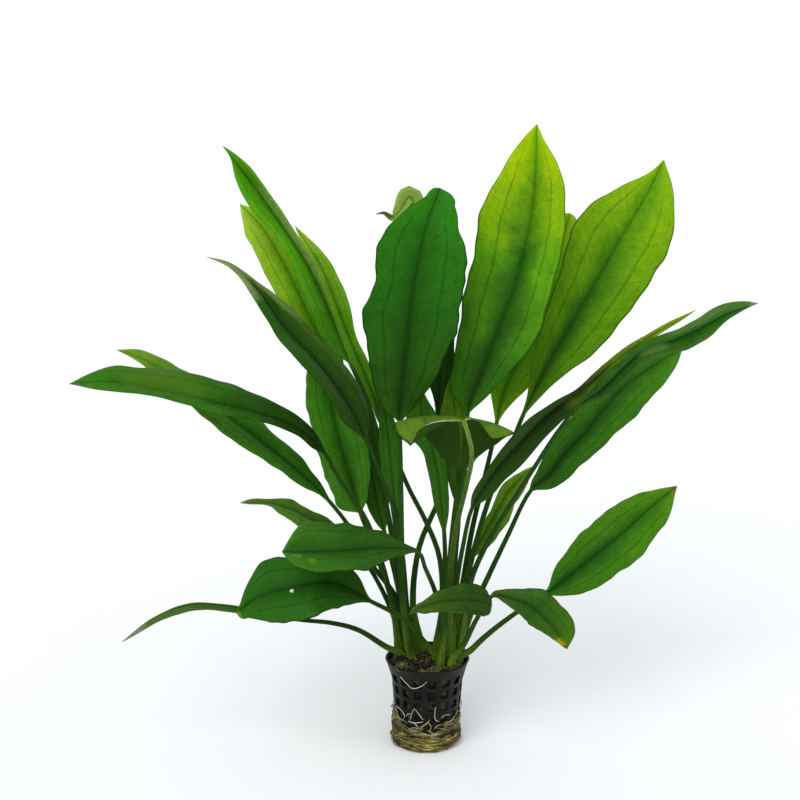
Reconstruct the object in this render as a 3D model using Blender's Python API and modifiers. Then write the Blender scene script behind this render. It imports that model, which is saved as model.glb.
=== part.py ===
"""A potted amazon sword plant: two rosettes of long-stalked leaves in one small net pot.

Metres, +Z up. The origin is the centre of the flat underside of the root mat, and -Y is the
plant's front. Sizes below are in millimetres where a name ends in _mm. Run it with
blender --background --python part.py, or from Blender's text editor.
"""

import math

import bmesh
import bpy
import numpy as np

MM = 0.001
GAP_mm = 0.3  # between pieces that touch
WELD_m = 1e-6

# Net pot: a flared plastic basket with square windows
RIM_RADIUS_mm = 25.0
LIP_RADIUS_mm = 24.3
LIP_HEIGHT_mm = 51.5
RIM_HEIGHT_mm = 52.5
COLLAR_RADIUS_mm = 21.0
COLLAR_HEIGHT_mm = 40.0
FLOOR_RADIUS_mm = 18.3
FLOOR_HEIGHT_mm = 3.0
POT_WALL_mm = 1.2
WINDOW_COLUMNS = 16
WINDOW_SHARE = 0.56  # of a column's width, the rest is rib
WINDOW_HEIGHT_mm = 4.8
WINDOW_PITCH_mm = 7.5
WINDOW_ROWS = 5
TOP_WINDOW_mm = 41.4  # lower edge of the top row
FIRST_COLUMN_deg = -83.3  # centre of one column, near the front
FLOOR_RINGS_mm = (6.0, 14.0)  # the floor is open between these rings, in every other column

# Root mat: a cup of roots round the pot's lower half
MAT_RADIUS_mm = 20.6
MAT_TOP_mm = 25.0
MAT_FOOT_mm = 1.2  # the mat draws in by this much towards its underside
MAT_WAIST_mm = 2.0  # height at which it is widest
MAT_SHOULDER_mm = (22.5, 0.9)  # height, and reach beyond the pot's wall
MAT_LIP_mm = 0.7  # reach beyond the wall at the mat's top, and how far its inside lies lower
MAT_SEGMENTS = 32

# Growing medium: a rockwool plug that fills the pot
MEDIUM_TOP_mm = 48.0
MEDIUM_SEGMENTS = 32
MEDIUM_SLACK_mm = 0.2  # more than the gap, between the plug and the pot's sides

# Crowns: the two short rootstocks that the leaves grow from
CROWNS_mm = {"crown_left": (-10.0, 3.0), "crown_right": (11.8, 0.0)}
CROWN_HALF_WIDTH_mm = 9.4
CROWN_HALF_DEPTH_mm = 12.5
CROWN_HEIGHT_mm = 3.0
CROWN_BEVEL_mm = 0.8
CROWN_SEGMENTS = 20
STALK_FOOT_mm = MEDIUM_TOP_mm + GAP_mm + CROWN_HEIGHT_mm + GAP_mm

# The leaves are laid out on a front view, 800 units square, of an eye 1.2 m away that looks
# 15 degrees down. A leaf's routes are places in that view, and depth_mm adds how far behind
# (+) or before (-) the pot's axis each place lies.
EYE = np.array((-0.0162, -1.1065, 0.5071))
EYE_DOWN = math.radians(15)
VIEW_CENTRE = 400
VIEW_FOCAL = 2000
ROUTE_STEPS = 24  # steps of a smooth curve between two places
STALK_RISE_mm = 4.0  # a stalk first rises straight from its root

# Cross-section of a leaf: shares of its half-width, from the left edge to the right edge
SECTION_SHARES = (-1.0, -0.6, 0.0, 0.6, 1.0)
STALK_STATIONS = 5
BLADE_STATIONS = 9
BLADE_THICKNESS_mm = 0.7
WIDTH_SHARES = (0.04, 0.14, 0.28, 0.44, 0.6, 0.74, 0.86, 0.95)
TIP_HALF_WIDTH_mm = 0.5
FULL_FOLD_AT = 0.25  # share of the blade's length by which it is folded as far as fold_deg
RIB_SPREAD_mm = 1.5  # how far the midrib's thickness spreads into the blade
BLADE_STEP_mm = 2.0  # the section is all blade once it is this much wider than the stalk

# For each leaf: root_mm is where its stalk stands on the crown (x, y). stalk and blade are
# routes in the front view, the blade's along its midrib from base to tip, and depth_mm has
# one value for each of their places. left_mm and right_mm are the blade's half-widths at
# WIDTH_SHARES of its length. turn_deg is its roll about the midrib, in even steps from base
# to tip: 0 faces the front, and below 0 the right or upper edge lies further back. fold_deg
# lifts both halves from the midrib. across is given where the blade lies towards the eye.
LEAVES = {
    "leaf_left_01": dict(
        root_mm=(-17.2, 1.6),
        stalk=((391, 600), (368, 524), (336, 474)),
        blade=((324, 452), (298, 428), (262, 414), (212, 402), (160, 390), (112, 382), (69, 384)),
        depth_mm=(-4, -9, -15, -18, -22, -26, -31, -36, -40, -43),
        left_mm=(4.5, 6, 8.5, 13, 10.5, 12, 13, 6),
        right_mm=(4, 7, 12, 17, 18, 15.5, 12, 5.5),
        turn_deg=(-42, -54, -60), fold_deg=10,
    ),
    "leaf_left_02": dict(
        root_mm=(-12.6, 7.2),
        stalk=((397, 600), (372, 565), (350, 528)),
        blade=((328, 500), (304, 476), (268, 447), (228, 417), (186, 390), (150, 363), (117, 350)),
        depth_mm=(3, 3, 4, 5, 4, 2, 2, 3, 4, 6),
        left_mm=(2, 9.5, 12, 20, 16, 12.5, 9.5, 3),
        right_mm=(4, 7.5, 10.5, 13, 13, 11.5, 8.5, 4.5),
        turn_deg=(-40, -53, -56), fold_deg=10,
    ),
    "leaf_left_03": dict(
        root_mm=(-12.4, 2.4),
        stalk=((402, 600), (398, 520), (384, 484)),
        blade=((366, 440), (348, 404), (316, 362), (283, 327), (258, 291), (233, 266), (207, 257)),
        depth_mm=(-3, -6, -12, -16, -21, -26, -30, -33, -36, -38),
        left_mm=(4, 14.5, 21.5, 25, 19, 15.5, 7, 3),
        right_mm=(8, 12.5, 14, 13.5, 13, 6.2, 1.2, 0.8),
        turn_deg=(-50, -56, -50), fold_deg=18,
    ),
    "leaf_left_04": dict(
        root_mm=(-7.8, 7.0),
        stalk=((405, 600), (392, 500), (370, 408)),
        blade=((350, 362), (337, 330), (324, 298), (307, 264), (289, 236), (269, 207), (223, 146)),
        depth_mm=(8, 9, 6, 2, 2, 3, 6, 9, 13, 20),
        left_mm=(5, 11, 15, 11.5, 10, 14, 9, 1),
        right_mm=(1.5, 2, 3.5, 6, 7, 7.5, 8, 4),
        turn_deg=(0, 0, 0), fold_deg=50,
    ),
    "leaf_left_05": dict(
        root_mm=(-10.4, 11.6),
        stalk=((401, 600), (385, 500), (360, 424)),
        blade=((342, 385), (326, 352), (310, 318), (295, 285), (278, 253), (261, 226), (240, 204)),
        depth_mm=(13, 18, 20, 20, 20, 20, 20, 22, 26, 30),
        left_mm=(4, 8, 10, 14, 14.5, 14, 12, 5),
        right_mm=(4, 8, 11, 14, 14, 12, 8, 3),
        turn_deg=(-10, -20, -20), fold_deg=14,
    ),
    "leaf_left_06": dict(
        root_mm=(-14.6, 11.4),
        stalk=((395, 610), (380, 565), (367, 530)),
        blade=((360, 512), (350, 475), (339, 437), (331, 400), (325, 370), (318, 340)),
        depth_mm=(11.5, 12, 11, 10, 9, 8, 7, 7, 8),
        left_mm=(9, 13, 15.5, 16, 16.5, 15.5, 12, 6.5),
        right_mm=(5, 9.5, 14, 16, 15, 13, 9, 4),
        turn_deg=(-10, -15, -20), fold_deg=12,
    ),
    "leaf_left_07": dict(
        root_mm=(-4.4, 11.8),
        stalk=((407, 622), (394, 570)),
        blade=((384, 530), (377, 500), (371, 470), (365, 440), (358, 410), (350, 380)),
        depth_mm=(17, 24, 28, 30, 32, 33, 34, 35),
        left_mm=(3, 6, 8, 8.5, 8, 7, 5, 2.5),
        right_mm=(3, 6, 8, 8.5, 8, 7, 5, 2.5),
        turn_deg=(0, 0, 0), fold_deg=12,
    ),
    "leaf_left_08": dict(
        root_mm=(-7.4, 2.0),
        stalk=((408, 620), (403, 560)),
        blade=((397, 515), (393, 485), (390, 455), (387, 425), (382, 394)),
        depth_mm=(3, 4, 3, 1, 0, -1, -3),
        left_mm=(2, 4, 5.5, 6, 6, 5, 3.5, 2),
        right_mm=(2, 4, 5.5, 6, 6, 5, 3.5, 2),
        turn_deg=(0, 0, 0), fold_deg=12,
    ),
    "leaf_left_09": dict(
        root_mm=(-10.0, -2.2),
        stalk=((405, 620), (402, 560), (401, 490), (400, 440)),
        blade=((399.5, 421), (404, 370), (408, 331), (412, 297), (418, 262), (427, 225), (440, 188)),
        depth_mm=(-8, -10, -11, -12, -12, -14, -16, -17, -17, -15, -8),
        left_mm=(7.5, 16.2, 20.6, 26.3, 21.8, 24, 14.5, 5.7),
        right_mm=(5.4, 14.2, 21.3, 27.5, 27.5, 26.8, 17.8, 11),
        turn_deg=(0, 0, 0), fold_deg=8, round_tip=True,
    ),
    "leaf_left_10": dict(
        root_mm=(-3.2, 3.8),
        stalk=((413, 605), (419, 548), (434, 511), (446, 482), (443, 448)),
        blade=((438, 417), (440, 375), (432, 330), (424, 285), (417, 240), (414, 212),
               (410, 197), (401, 210), (393, 218), (384, 213), (376, 214)),
        depth_mm=(6, 14, 19, 21, 22, 23, 24, 25, 26, 27, 28, 28, 25, 22, 20, 18),
        left_mm=(2, 7.5, 13, 16, 14, 8, 3, 1.5),
        right_mm=(2, 6.5, 12, 16, 12, 7.5, 6, 1.5),
        turn_deg=(0, 0, 0), fold_deg=12,
    ),
    "leaf_left_11": dict(
        root_mm=(-17.2, 6.6),
        stalk=((396, 625), (383, 592), (365, 562)),
        blade=((346, 543), (322, 526), (296, 511), (268, 503), (240, 503)),
        depth_mm=(4.5, 8, 13, 17, 20, 23, 26, 28),
        left_mm=(8, 14, 17, 16, 10, 4, 2.5, 1),
        right_mm=(6, 7, 7.5, 6, 7, 4, 3, 2),
        turn_deg=(-50, -52, -50), fold_deg=10,
    ),
    "leaf_left_12": dict(
        root_mm=(-15.2, -3.4),
        stalk=((386, 647), (358, 630), (331, 623)),
        blade=((300, 620), (262, 613), (226, 606), (190, 605), (155, 618), (122, 642)),
        depth_mm=(-9, -10, -11, -12, -12, -11, -10, -9, -8),
        left_mm=(1.5, 2.6, 4, 5.2, 5.4, 4.5, 3.2, 1.4),
        right_mm=(1, 1.2, 1.2, 1.2, 1.2, 1, 0.8, 0.5),
        turn_deg=(-30, -40, -30), fold_deg=10,
    ),
    "leaf_left_13": dict(
        root_mm=(-9.0, -7.2),
        stalk=((411, 640), (408, 622)),
        blade=((412, 612), (430, 604), (452, 600), (474, 600), (492, 605)),
        depth_mm=(-13, -16, -21, -28, -34, -38, -41),
        left_mm=(1.5, 3, 5, 8, 11, 12.5, 12, 7),
        right_mm=(6, 8.5, 11.5, 13.5, 14.5, 14.5, 14, 12),
        turn_deg=(-50, -50, -50), fold_deg=-6, round_tip=True,
    ),
    "leaf_right_01": dict(
        root_mm=(9.7, -1.8),
        stalk=((447, 610), (450, 560), (455, 510), (463, 455)),
        blade=((468, 412), (482, 372), (500, 325), (515, 285), (526, 243), (533, 205), (536, 165),
               (537, 124)),
        depth_mm=(-2, -1, 0, 1, 2, 3, 4, 5, 6, 7, 9, 12),
        left_mm=(11.5, 17, 22.5, 26.5, 28.5, 27, 17.5, 8),
        right_mm=(5, 12.5, 22, 23, 22, 20, 14, 4.5),
        turn_deg=(6, 14, 10), fold_deg=10,
    ),
    "leaf_right_02": dict(
        root_mm=(14.6, -1.4),
        stalk=((460, 610), (478, 535), (493, 488), (509, 450)),
        blade=((524, 413), (545, 370), (566, 333), (585, 300), (604, 268), (622, 236), (645, 198),
               (664, 160)),
        depth_mm=(4, 9, 13, 17, 21, 24, 28, 32, 36, 40, 44, 48),
        left_mm=(2, 7, 14.5, 19.5, 27, 25.5, 14.5, 3.5),
        right_mm=(3, 8.5, 18.5, 25, 26.5, 28, 18.5, 8.5),
        turn_deg=(0, -8, 0), fold_deg=8,
    ),
    "leaf_right_03": dict(
        root_mm=(13.6, 8.2),
        stalk=((460, 600), (472, 530), (484, 480), (492, 446)),
        blade=((497, 421), (504, 392), (520, 357), (536, 320), (550, 285), (561, 248), (570, 213)),
        depth_mm=(16, 24, 30, 35, 38, 42, 46, 50, 54, 59, 63),
        left_mm=(3, 9, 17, 20, 18, 15, 11, 6),
        right_mm=(3, 9.5, 16, 19, 19, 15, 11, 6),
        turn_deg=(0, 0, 0), fold_deg=10, round_tip=True,
    ),
    "leaf_right_04": dict(
        root_mm=(14.0, -6.6),
        stalk=((453, 620), (457, 580), (463, 545)),
        blade=((472, 508), (494, 473), (522, 440), (550, 412), (580, 390), (614, 361), (652, 334),
               (696, 310)),
        depth_mm=(-9, -11, -12, -12, -9, -4, 2, 7, 11, 15, 18),
        left_mm=(5, 8.5, 16, 12, 7, 9, 5, 2.5),
        right_mm=(7, 10, 12, 11.5, 7.5, 5, 3, 1.5),
        turn_deg=(-45, -60, -56), fold_deg=16,
    ),
    "leaf_right_05": dict(
        root_mm=(19.2, -1.8),
        stalk=((470, 583), (484, 549), (508, 508), (530, 474), (556, 434)),
        blade=((579, 405), (600, 391), (622, 369), (645, 349), (672, 340), (700, 328), (728, 313),
               (758, 303)),
        depth_mm=(-1, 0, 0, -2, -4, -6, -7, -8, -9, -10, -10, -10, -10),
        left_mm=(3, 8, 11, 9, 12, 14, 13, 6.5),
        right_mm=(3, 6, 6, 7, 10, 8.5, 4, 1),
        turn_deg=(-50, -52, -52), fold_deg=14,
    ),
    "leaf_right_06": dict(
        root_mm=(19.0, 3.2),
        stalk=((472, 610), (484, 585), (507, 537)),
        blade=((531, 490), (548, 476), (566, 453), (585, 433), (600, 414), (624, 387), (641, 374),
               (661, 361), (683, 347)),
        depth_mm=(8, 12, 18, 22, 23.5, 25, 26.5, 28, 30, 31, 32.5, 34),
        left_mm=(4.5, 10, 13.4, 15.9, 17, 15.3, 10.2, 4.5),
        right_mm=(4.5, 10, 12.5, 14.8, 17.8, 16, 11.2, 5.7),
        turn_deg=(-20, -30, -25), fold_deg=10,
    ),
    "leaf_right_07": dict(
        root_mm=(18.4, 8.2),
        stalk=((469, 612), (469, 580)),
        blade=((473, 556), (484, 534), (496, 512), (508, 492), (521, 478), (534, 466)),
        depth_mm=(14, 17, 19, 20, 21, 23, 25, 27),
        left_mm=(1.5, 2.5, 3.5, 4, 5, 6, 3.5, 1.5),
        right_mm=(3, 6, 8, 9, 8, 7, 5, 2),
        turn_deg=(0, -20, -20), fold_deg=10,
    ),
    "leaf_right_08": dict(
        root_mm=(18.2, -6.4),
        stalk=((469.5, 651), (480, 641), (494, 629), (517, 612)),
        blade=((545, 594), (568, 577), (592, 558), (618, 537), (646, 512), (677, 486)),
        depth_mm=(-8, -9, -9, -9, -8, -6, -3, 0, 2, 4),
        left_mm=(2.5, 10.5, 16.5, 20, 20, 16.5, 10, 4),
        right_mm=(4.5, 12, 16, 18, 17.5, 14.5, 10.5, 4),
        turn_deg=(-25, -30, -25), fold_deg=10,
    ),
    "leaf_right_09": dict(
        root_mm=(14.0, -10.9),
        stalk=((463, 645), (477, 618)),
        blade=((492, 596), (513, 599), (533, 608), (552, 626), (567, 649)),
        depth_mm=(-14, -19, -25, -30, -35, -39, -43),
        left_mm=(3, 5, 7.5, 13, 13, 13, 11, 5.5),
        right_mm=(2, 5, 9, 11.5, 11, 8.5, 4.5, 2),
        turn_deg=(-40, -34, -30), fold_deg=-8,
    ),
    "leaf_right_10": dict(
        root_mm=(7.4, -11.2),
        stalk=((444, 632), (435, 592), (425, 568)),
        blade=((418, 552), (386, 548), (352, 550), (318, 552), (282, 552)),
        depth_mm=(-15, -24, -31, -36, -42, -47, -50, -52),
        left_mm=(2, 6.5, 13.5, 22, 24, 21, 19, 11),
        right_mm=(2, 6, 15.5, 21.5, 24, 25.5, 23, 10),
        turn_deg=(-48, -55, -52), fold_deg=6,
    ),
    "leaf_right_11": dict(
        root_mm=(4.7, -6.3),
        stalk=((423, 641), (407, 622), (390, 611)),
        blade=((370, 601), (345, 586), (326, 582), (294, 587), (258, 597), (236, 613)),
        depth_mm=(-13, -23, -27, -30, -33, -35, -37, -38, -39),
        left_mm=(3, 10, 17, 22, 23, 20, 15, 7),
        right_mm=(3, 8.5, 13, 16, 20, 18.5, 8.5, 2.5),
        turn_deg=(-25, -28, -25), fold_deg=6, round_tip=True,
    ),
    "leaf_right_12": dict(
        root_mm=(5.0, 3.4),
        stalk=((442, 605), (439, 556), (425, 520), (409, 489), (396, 458)),
        blade=((386, 430), (374, 398), (362, 368), (349, 338), (336, 304), (320, 266), (295, 226)),
        depth_mm=(9, 12, 13, 14, 17, 22, 28, 34, 38, 40, 42, 45),
        left_mm=(3, 4, 6, 8, 9, 8, 5, 2),
        right_mm=(5.5, 6.5, 5, 5, 7.5, 7.5, 5, 2),
        turn_deg=(-30, -30, -30), fold_deg=14,
    ),
    "leaf_right_13": dict(
        root_mm=(9.4, -6.4),
        stalk=((450, 620), (450, 581), (456, 528), (467, 482), (472, 452)),
        blade=((464, 421), (463, 416), (462, 415), (461, 424), (461, 445), (461, 471)),
        depth_mm=(-13, -20, -30, -38, -46, -47, -36, -25, -16, -12, -11),
        left_mm=(16, 29, 36, 37, 22, 16, 11, 5),
        right_mm=(7, 13, 24, 31, 27, 18, 10, 5),
        turn_deg=(0, -6, -4, 0), fold_deg=(-60, -42, -12, -8, -18, -22), across=(1.0, 0.0, 0.0),
    ),
    "leaf_right_14": dict(
        root_mm=(5.0, -1.6),
        stalk=((443, 605), (445, 560)),
        blade=((444, 530), (440, 490), (434, 455), (426, 430), (421, 410), (421, 388)),
        depth_mm=(4, 5, 5, 5, 5, 5, 6, 6),
        left_mm=(2, 4, 5, 5.5, 6.5, 11, 8, 3),
        right_mm=(2, 4, 5, 6, 7, 9, 7, 3),
        turn_deg=(0, 0, 0), fold_deg=10,
    ),
    "leaf_right_15": dict(
        root_mm=(9.8, 3.4),
        stalk=((452, 600), (456, 550)),
        blade=((459, 510), (457, 475), (456, 445), (455, 410), (452, 376)),
        depth_mm=(8, 11, 12, 12, 12, 12, 12),
        left_mm=(2, 4, 6, 8, 9.5, 9, 6, 3),
        right_mm=(2, 4, 6, 7, 8, 7, 5, 2.5),
        turn_deg=(0, 0, 0), fold_deg=10,
    ),
}
STALK_FOOT_RADIUS_mm = 2.2
STALK_TOP_RADIUS_mm = 1.2
STALK_TAPER = 0.7  # below 1, the stalk is slim soon above its foot

GREEN_UPPER = (0.10, 0.28, 0.02, 1.0)
POT_BLACK = (0.018, 0.016, 0.020, 1.0)
ROCKWOOL_BROWN = (0.13, 0.10, 0.04, 1.0)
ROOT_OCHRE = (0.55, 0.40, 0.14, 1.0)
CROWN_GREEN = (0.20, 0.22, 0.07, 1.0)


def clear_scene():
    for thing in list(bpy.data.objects):
        bpy.data.objects.remove(thing, do_unlink=True)


def make_material(name, colour, roughness):
    material = bpy.data.materials.new(name)
    material.use_nodes = True
    shader = material.node_tree.nodes["Principled BSDF"]
    shader.inputs["Base Color"].default_value = colour
    shader.inputs["Roughness"].default_value = roughness
    shader.inputs["Metallic"].default_value = 0.0
    return material


def add_object(name, mesh, collection, material, smooth=True):
    thing = bpy.data.objects.new(name, mesh)
    collection.objects.link(thing)
    mesh.materials.append(material)
    if smooth:
        mesh.shade_smooth()
        mesh.set_sharp_from_angle(angle=math.radians(35))
    return thing


def mesh_from(points, faces, name):
    mesh = bpy.data.meshes.new(name)
    mesh.from_pydata([tuple(point) for point in points], [], faces)
    mesh.validate()
    return mesh


def turned_mesh(name, profile_mm, segments):
    """A closed turned solid from an outline of (radius, height) that starts and ends on the axis."""
    shape = bmesh.new()
    corners = [shape.verts.new((radius * MM, 0, height * MM)) for radius, height in profile_mm]
    edges = [shape.edges.new(pair) for pair in zip(corners, corners[1:])]
    bmesh.ops.spin(
        shape, geom=corners + edges, axis=(0, 0, 1), cent=(0, 0, 0),
        angle=2 * math.pi, steps=segments, use_merge=True,
    )
    bmesh.ops.remove_doubles(shape, verts=shape.verts, dist=WELD_m)
    bmesh.ops.recalc_face_normals(shape, faces=shape.faces)
    mesh = bpy.data.meshes.new(name)
    shape.to_mesh(mesh)
    shape.free()
    return mesh


def pot_radius_mm(height_mm):
    """Outer radius of the pot's wall at a height."""
    if height_mm <= COLLAR_HEIGHT_mm:
        share = (height_mm - FLOOR_HEIGHT_mm) / (COLLAR_HEIGHT_mm - FLOOR_HEIGHT_mm)
        return FLOOR_RADIUS_mm + share * (COLLAR_RADIUS_mm - FLOOR_RADIUS_mm)
    share = (height_mm - COLLAR_HEIGHT_mm) / (LIP_HEIGHT_mm - COLLAR_HEIGHT_mm)
    return COLLAR_RADIUS_mm + share * (LIP_RADIUS_mm - COLLAR_RADIUS_mm)


def window_edges_mm():
    """(lower, upper) height of each row of windows, from the bottom row up."""
    rows = []
    for row in reversed(range(WINDOW_ROWS)):
        lower = TOP_WINDOW_mm - row * WINDOW_PITCH_mm
        rows.append((lower, lower + WINDOW_HEIGHT_mm))
    return rows


def build_pot(collection, material):
    """The net pot: an open turned skin, its window faces taken out, then given its wall."""
    rows = window_edges_mm()
    heights = [FLOOR_HEIGHT_mm] + [edge for row in rows for edge in row]
    heights = sorted(heights + [COLLAR_HEIGHT_mm, LIP_HEIGHT_mm])
    outline = [(0.0, FLOOR_HEIGHT_mm)] + [(ring, FLOOR_HEIGHT_mm) for ring in FLOOR_RINGS_mm]
    outline += [(pot_radius_mm(height), height) for height in heights]
    outline.append((RIM_RADIUS_mm, RIM_HEIGHT_mm))
    half_window = math.pi * WINDOW_SHARE / WINDOW_COLUMNS
    column_step = 2 * math.pi / WINDOW_COLUMNS
    first = math.radians(FIRST_COLUMN_deg)
    sides = []
    for column in range(WINDOW_COLUMNS):
        middle = first + column * column_step
        sides += [middle - half_window, middle + half_window]
    shape = bmesh.new()
    centre = shape.verts.new((0, 0, FLOOR_HEIGHT_mm * MM))
    rings = []
    for radius, height in outline[1:]:
        rings.append([
            shape.verts.new((radius * MM * math.cos(side), radius * MM * math.sin(side), height * MM))
            for side in sides
        ])
    count = len(sides)
    for side in range(count):
        shape.faces.new((centre, rings[0][(side + 1) % count], rings[0][side]))
    lower_edges = {row[0] for row in rows}
    for level, (lower, upper) in enumerate(zip(rings, rings[1:])):
        height = outline[level + 1][1]
        floor_opening = level == 0
        wall_opening = height in lower_edges and level > 1
        for side in range(count):
            if side % 2 == 0 and wall_opening:
                continue
            if side % 4 == 0 and floor_opening:
                continue
            after = (side + 1) % count
            shape.faces.new((lower[side], lower[after], upper[after], upper[side]))
    mesh = bpy.data.meshes.new("pot")
    shape.to_mesh(mesh)
    shape.free()
    pot = add_object("pot", mesh, collection, material)
    wall = pot.modifiers.new("wall", "SOLIDIFY")
    wall.thickness = POT_WALL_mm * MM
    wall.offset = -1.0
    wall.use_even_offset = True
    return pot


def build_root_mat(collection, material):
    """A cup of matted roots: flat underside, wall against the pot's lower half."""
    inner_floor = FLOOR_HEIGHT_mm - GAP_mm
    profile = [
        (0.0, 0.0),
        (MAT_RADIUS_mm - MAT_FOOT_mm, 0.0),
        (MAT_RADIUS_mm, MAT_WAIST_mm),
        (pot_radius_mm(MAT_TOP_mm) + MAT_SHOULDER_mm[1], MAT_SHOULDER_mm[0]),
        (pot_radius_mm(MAT_TOP_mm) + MAT_LIP_mm, MAT_TOP_mm),
        (pot_radius_mm(MAT_TOP_mm) + GAP_mm, MAT_TOP_mm - MAT_LIP_mm),
        (pot_radius_mm(inner_floor) + GAP_mm, inner_floor),
        (0.0, inner_floor),
    ]
    return add_object("root_mat", turned_mesh("root_mat", profile, MAT_SEGMENTS), collection, material)


def build_medium(collection, material):
    """The rockwool plug inside the pot."""
    inset = POT_WALL_mm + GAP_mm + MEDIUM_SLACK_mm
    foot = FLOOR_HEIGHT_mm + POT_WALL_mm + GAP_mm
    profile = [
        (0.0, foot),
        (pot_radius_mm(foot) - inset, foot),
        (pot_radius_mm(COLLAR_HEIGHT_mm) - inset, COLLAR_HEIGHT_mm),
        (pot_radius_mm(MEDIUM_TOP_mm) - inset, MEDIUM_TOP_mm),
        (0.0, MEDIUM_TOP_mm),
    ]
    mesh = turned_mesh("growing_medium", profile, MEDIUM_SEGMENTS)
    return add_object("growing_medium", mesh, collection, material)


def build_crown(name, centre_mm, collection, material):
    """A low oval rootstock that the leaf stalks stand on."""
    middle = (MEDIUM_TOP_mm + GAP_mm + CROWN_HEIGHT_mm / 2) * MM
    bpy.ops.mesh.primitive_cylinder_add(
        vertices=CROWN_SEGMENTS, radius=1.0, depth=CROWN_HEIGHT_mm * MM,
        location=(centre_mm[0] * MM, centre_mm[1] * MM, middle),
    )
    crown = bpy.context.active_object
    crown.scale = (CROWN_HALF_WIDTH_mm * MM, CROWN_HALF_DEPTH_mm * MM, 1.0)
    bpy.ops.object.transform_apply(location=False, rotation=False, scale=True)
    for owner in list(crown.users_collection):
        owner.objects.unlink(crown)
    collection.objects.link(crown)
    crown.name = name
    crown.data.name = name
    crown.data.materials.append(material)
    crown.data.shade_smooth()
    crown.data.set_sharp_from_angle(angle=math.radians(35))
    edge = crown.modifiers.new("round_edge", "BEVEL")
    edge.width = CROWN_BEVEL_mm * MM
    edge.segments = 1
    return crown


def place(across, down, depth):
    """The point at a place of the front view, depth metres behind the pot's axis."""
    slope = (VIEW_CENTRE - down) / VIEW_FOCAL
    forward = depth - EYE[1]
    level = forward * (slope * math.cos(EYE_DOWN) - math.sin(EYE_DOWN))
    drop = level / (math.cos(EYE_DOWN) + slope * math.sin(EYE_DOWN))
    height = EYE[2] + drop
    distance = forward * math.cos(EYE_DOWN) - drop * math.sin(EYE_DOWN)
    side = EYE[0] + distance * (across - VIEW_CENTRE) / VIEW_FOCAL
    return np.array((side, depth, height))


def unit(vector):
    return vector / np.linalg.norm(vector)


def smooth_route(points):
    """A function of arc length, in metres, along a smooth curve through the points, and the
    arc length at each point."""
    points = np.asarray(points)
    knots = np.concatenate(([0.0], np.cumsum(np.linalg.norm(np.diff(points, axis=0), axis=1) ** 0.5)))
    slopes = np.gradient(points, knots, axis=0)
    curve = [points[0]]
    marks = [0]
    for index in range(len(points) - 1):
        span = knots[index + 1] - knots[index]
        for step in range(1, ROUTE_STEPS + 1):
            t = step / ROUTE_STEPS
            curve.append(
                (2 * t**3 - 3 * t**2 + 1) * points[index]
                + (t**3 - 2 * t**2 + t) * span * slopes[index]
                + (3 * t**2 - 2 * t**3) * points[index + 1]
                + (t**3 - t**2) * span * slopes[index + 1]
            )
        marks.append(len(curve) - 1)
    curve = np.array(curve)
    lengths = np.concatenate(([0.0], np.cumsum(np.linalg.norm(np.diff(curve, axis=0), axis=1))))

    def at(length):
        return np.array([np.interp(length, lengths, curve[:, axis]) for axis in range(3)])

    return at, lengths[marks]


def leaf_route(leaf):
    """The leaf's centre line, its whole length and the length at which the blade starts."""
    foot = np.array((*leaf["root_mm"], STALK_FOOT_mm)) * MM
    places = leaf["stalk"] + leaf["blade"]
    points = [foot, foot + np.array((0, 0, STALK_RISE_mm * MM))]
    points += [place(*spot, depth * MM) for spot, depth in zip(places, leaf["depth_mm"], strict=True)]
    at, marks = smooth_route(points)
    return at, marks[-1], marks[2 + len(leaf["stalk"])]


def smooth_value(spots, values, spot):
    """The value at a spot, on a smooth curve through the values at the given spots."""
    slopes = np.gradient(values, spots)
    index = min(max(int(np.searchsorted(spots, spot)) - 1, 0), len(spots) - 2)
    span = spots[index + 1] - spots[index]
    t = min(max((spot - spots[index]) / span, 0.0), 1.0)
    return (
        (2 * t**3 - 3 * t**2 + 1) * values[index]
        + (t**3 - 2 * t**2 + t) * span * slopes[index]
        + (3 * t**2 - 2 * t**3) * values[index + 1]
        + (t**3 - t**2) * span * slopes[index + 1]
    )


def blade_half_mm(leaf, side, along, stalk):
    """Half-width of the blade on one side at a share of its length."""
    widths = leaf[side]
    last = WIDTH_SHARES[-1]
    if along > last and leaf.get("round_tip"):
        rounding = math.sqrt(max(1 - ((along - last) / (1 - last)) ** 2, 0.0))
        return max(widths[-1] * rounding, TIP_HALF_WIDTH_mm)
    half = smooth_value((0.0, *WIDTH_SHARES, 1.0), (stalk, *widths, TIP_HALF_WIDTH_mm), along)
    return max(half, stalk, TIP_HALF_WIDTH_mm)


def along_blade(values, along):
    """The value at a share of the blade's length, from one value or from evenly spread ones."""
    if isinstance(values, (int, float)):
        return values
    return float(np.interp(along, np.linspace(0, 1, len(values)), values))


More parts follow.
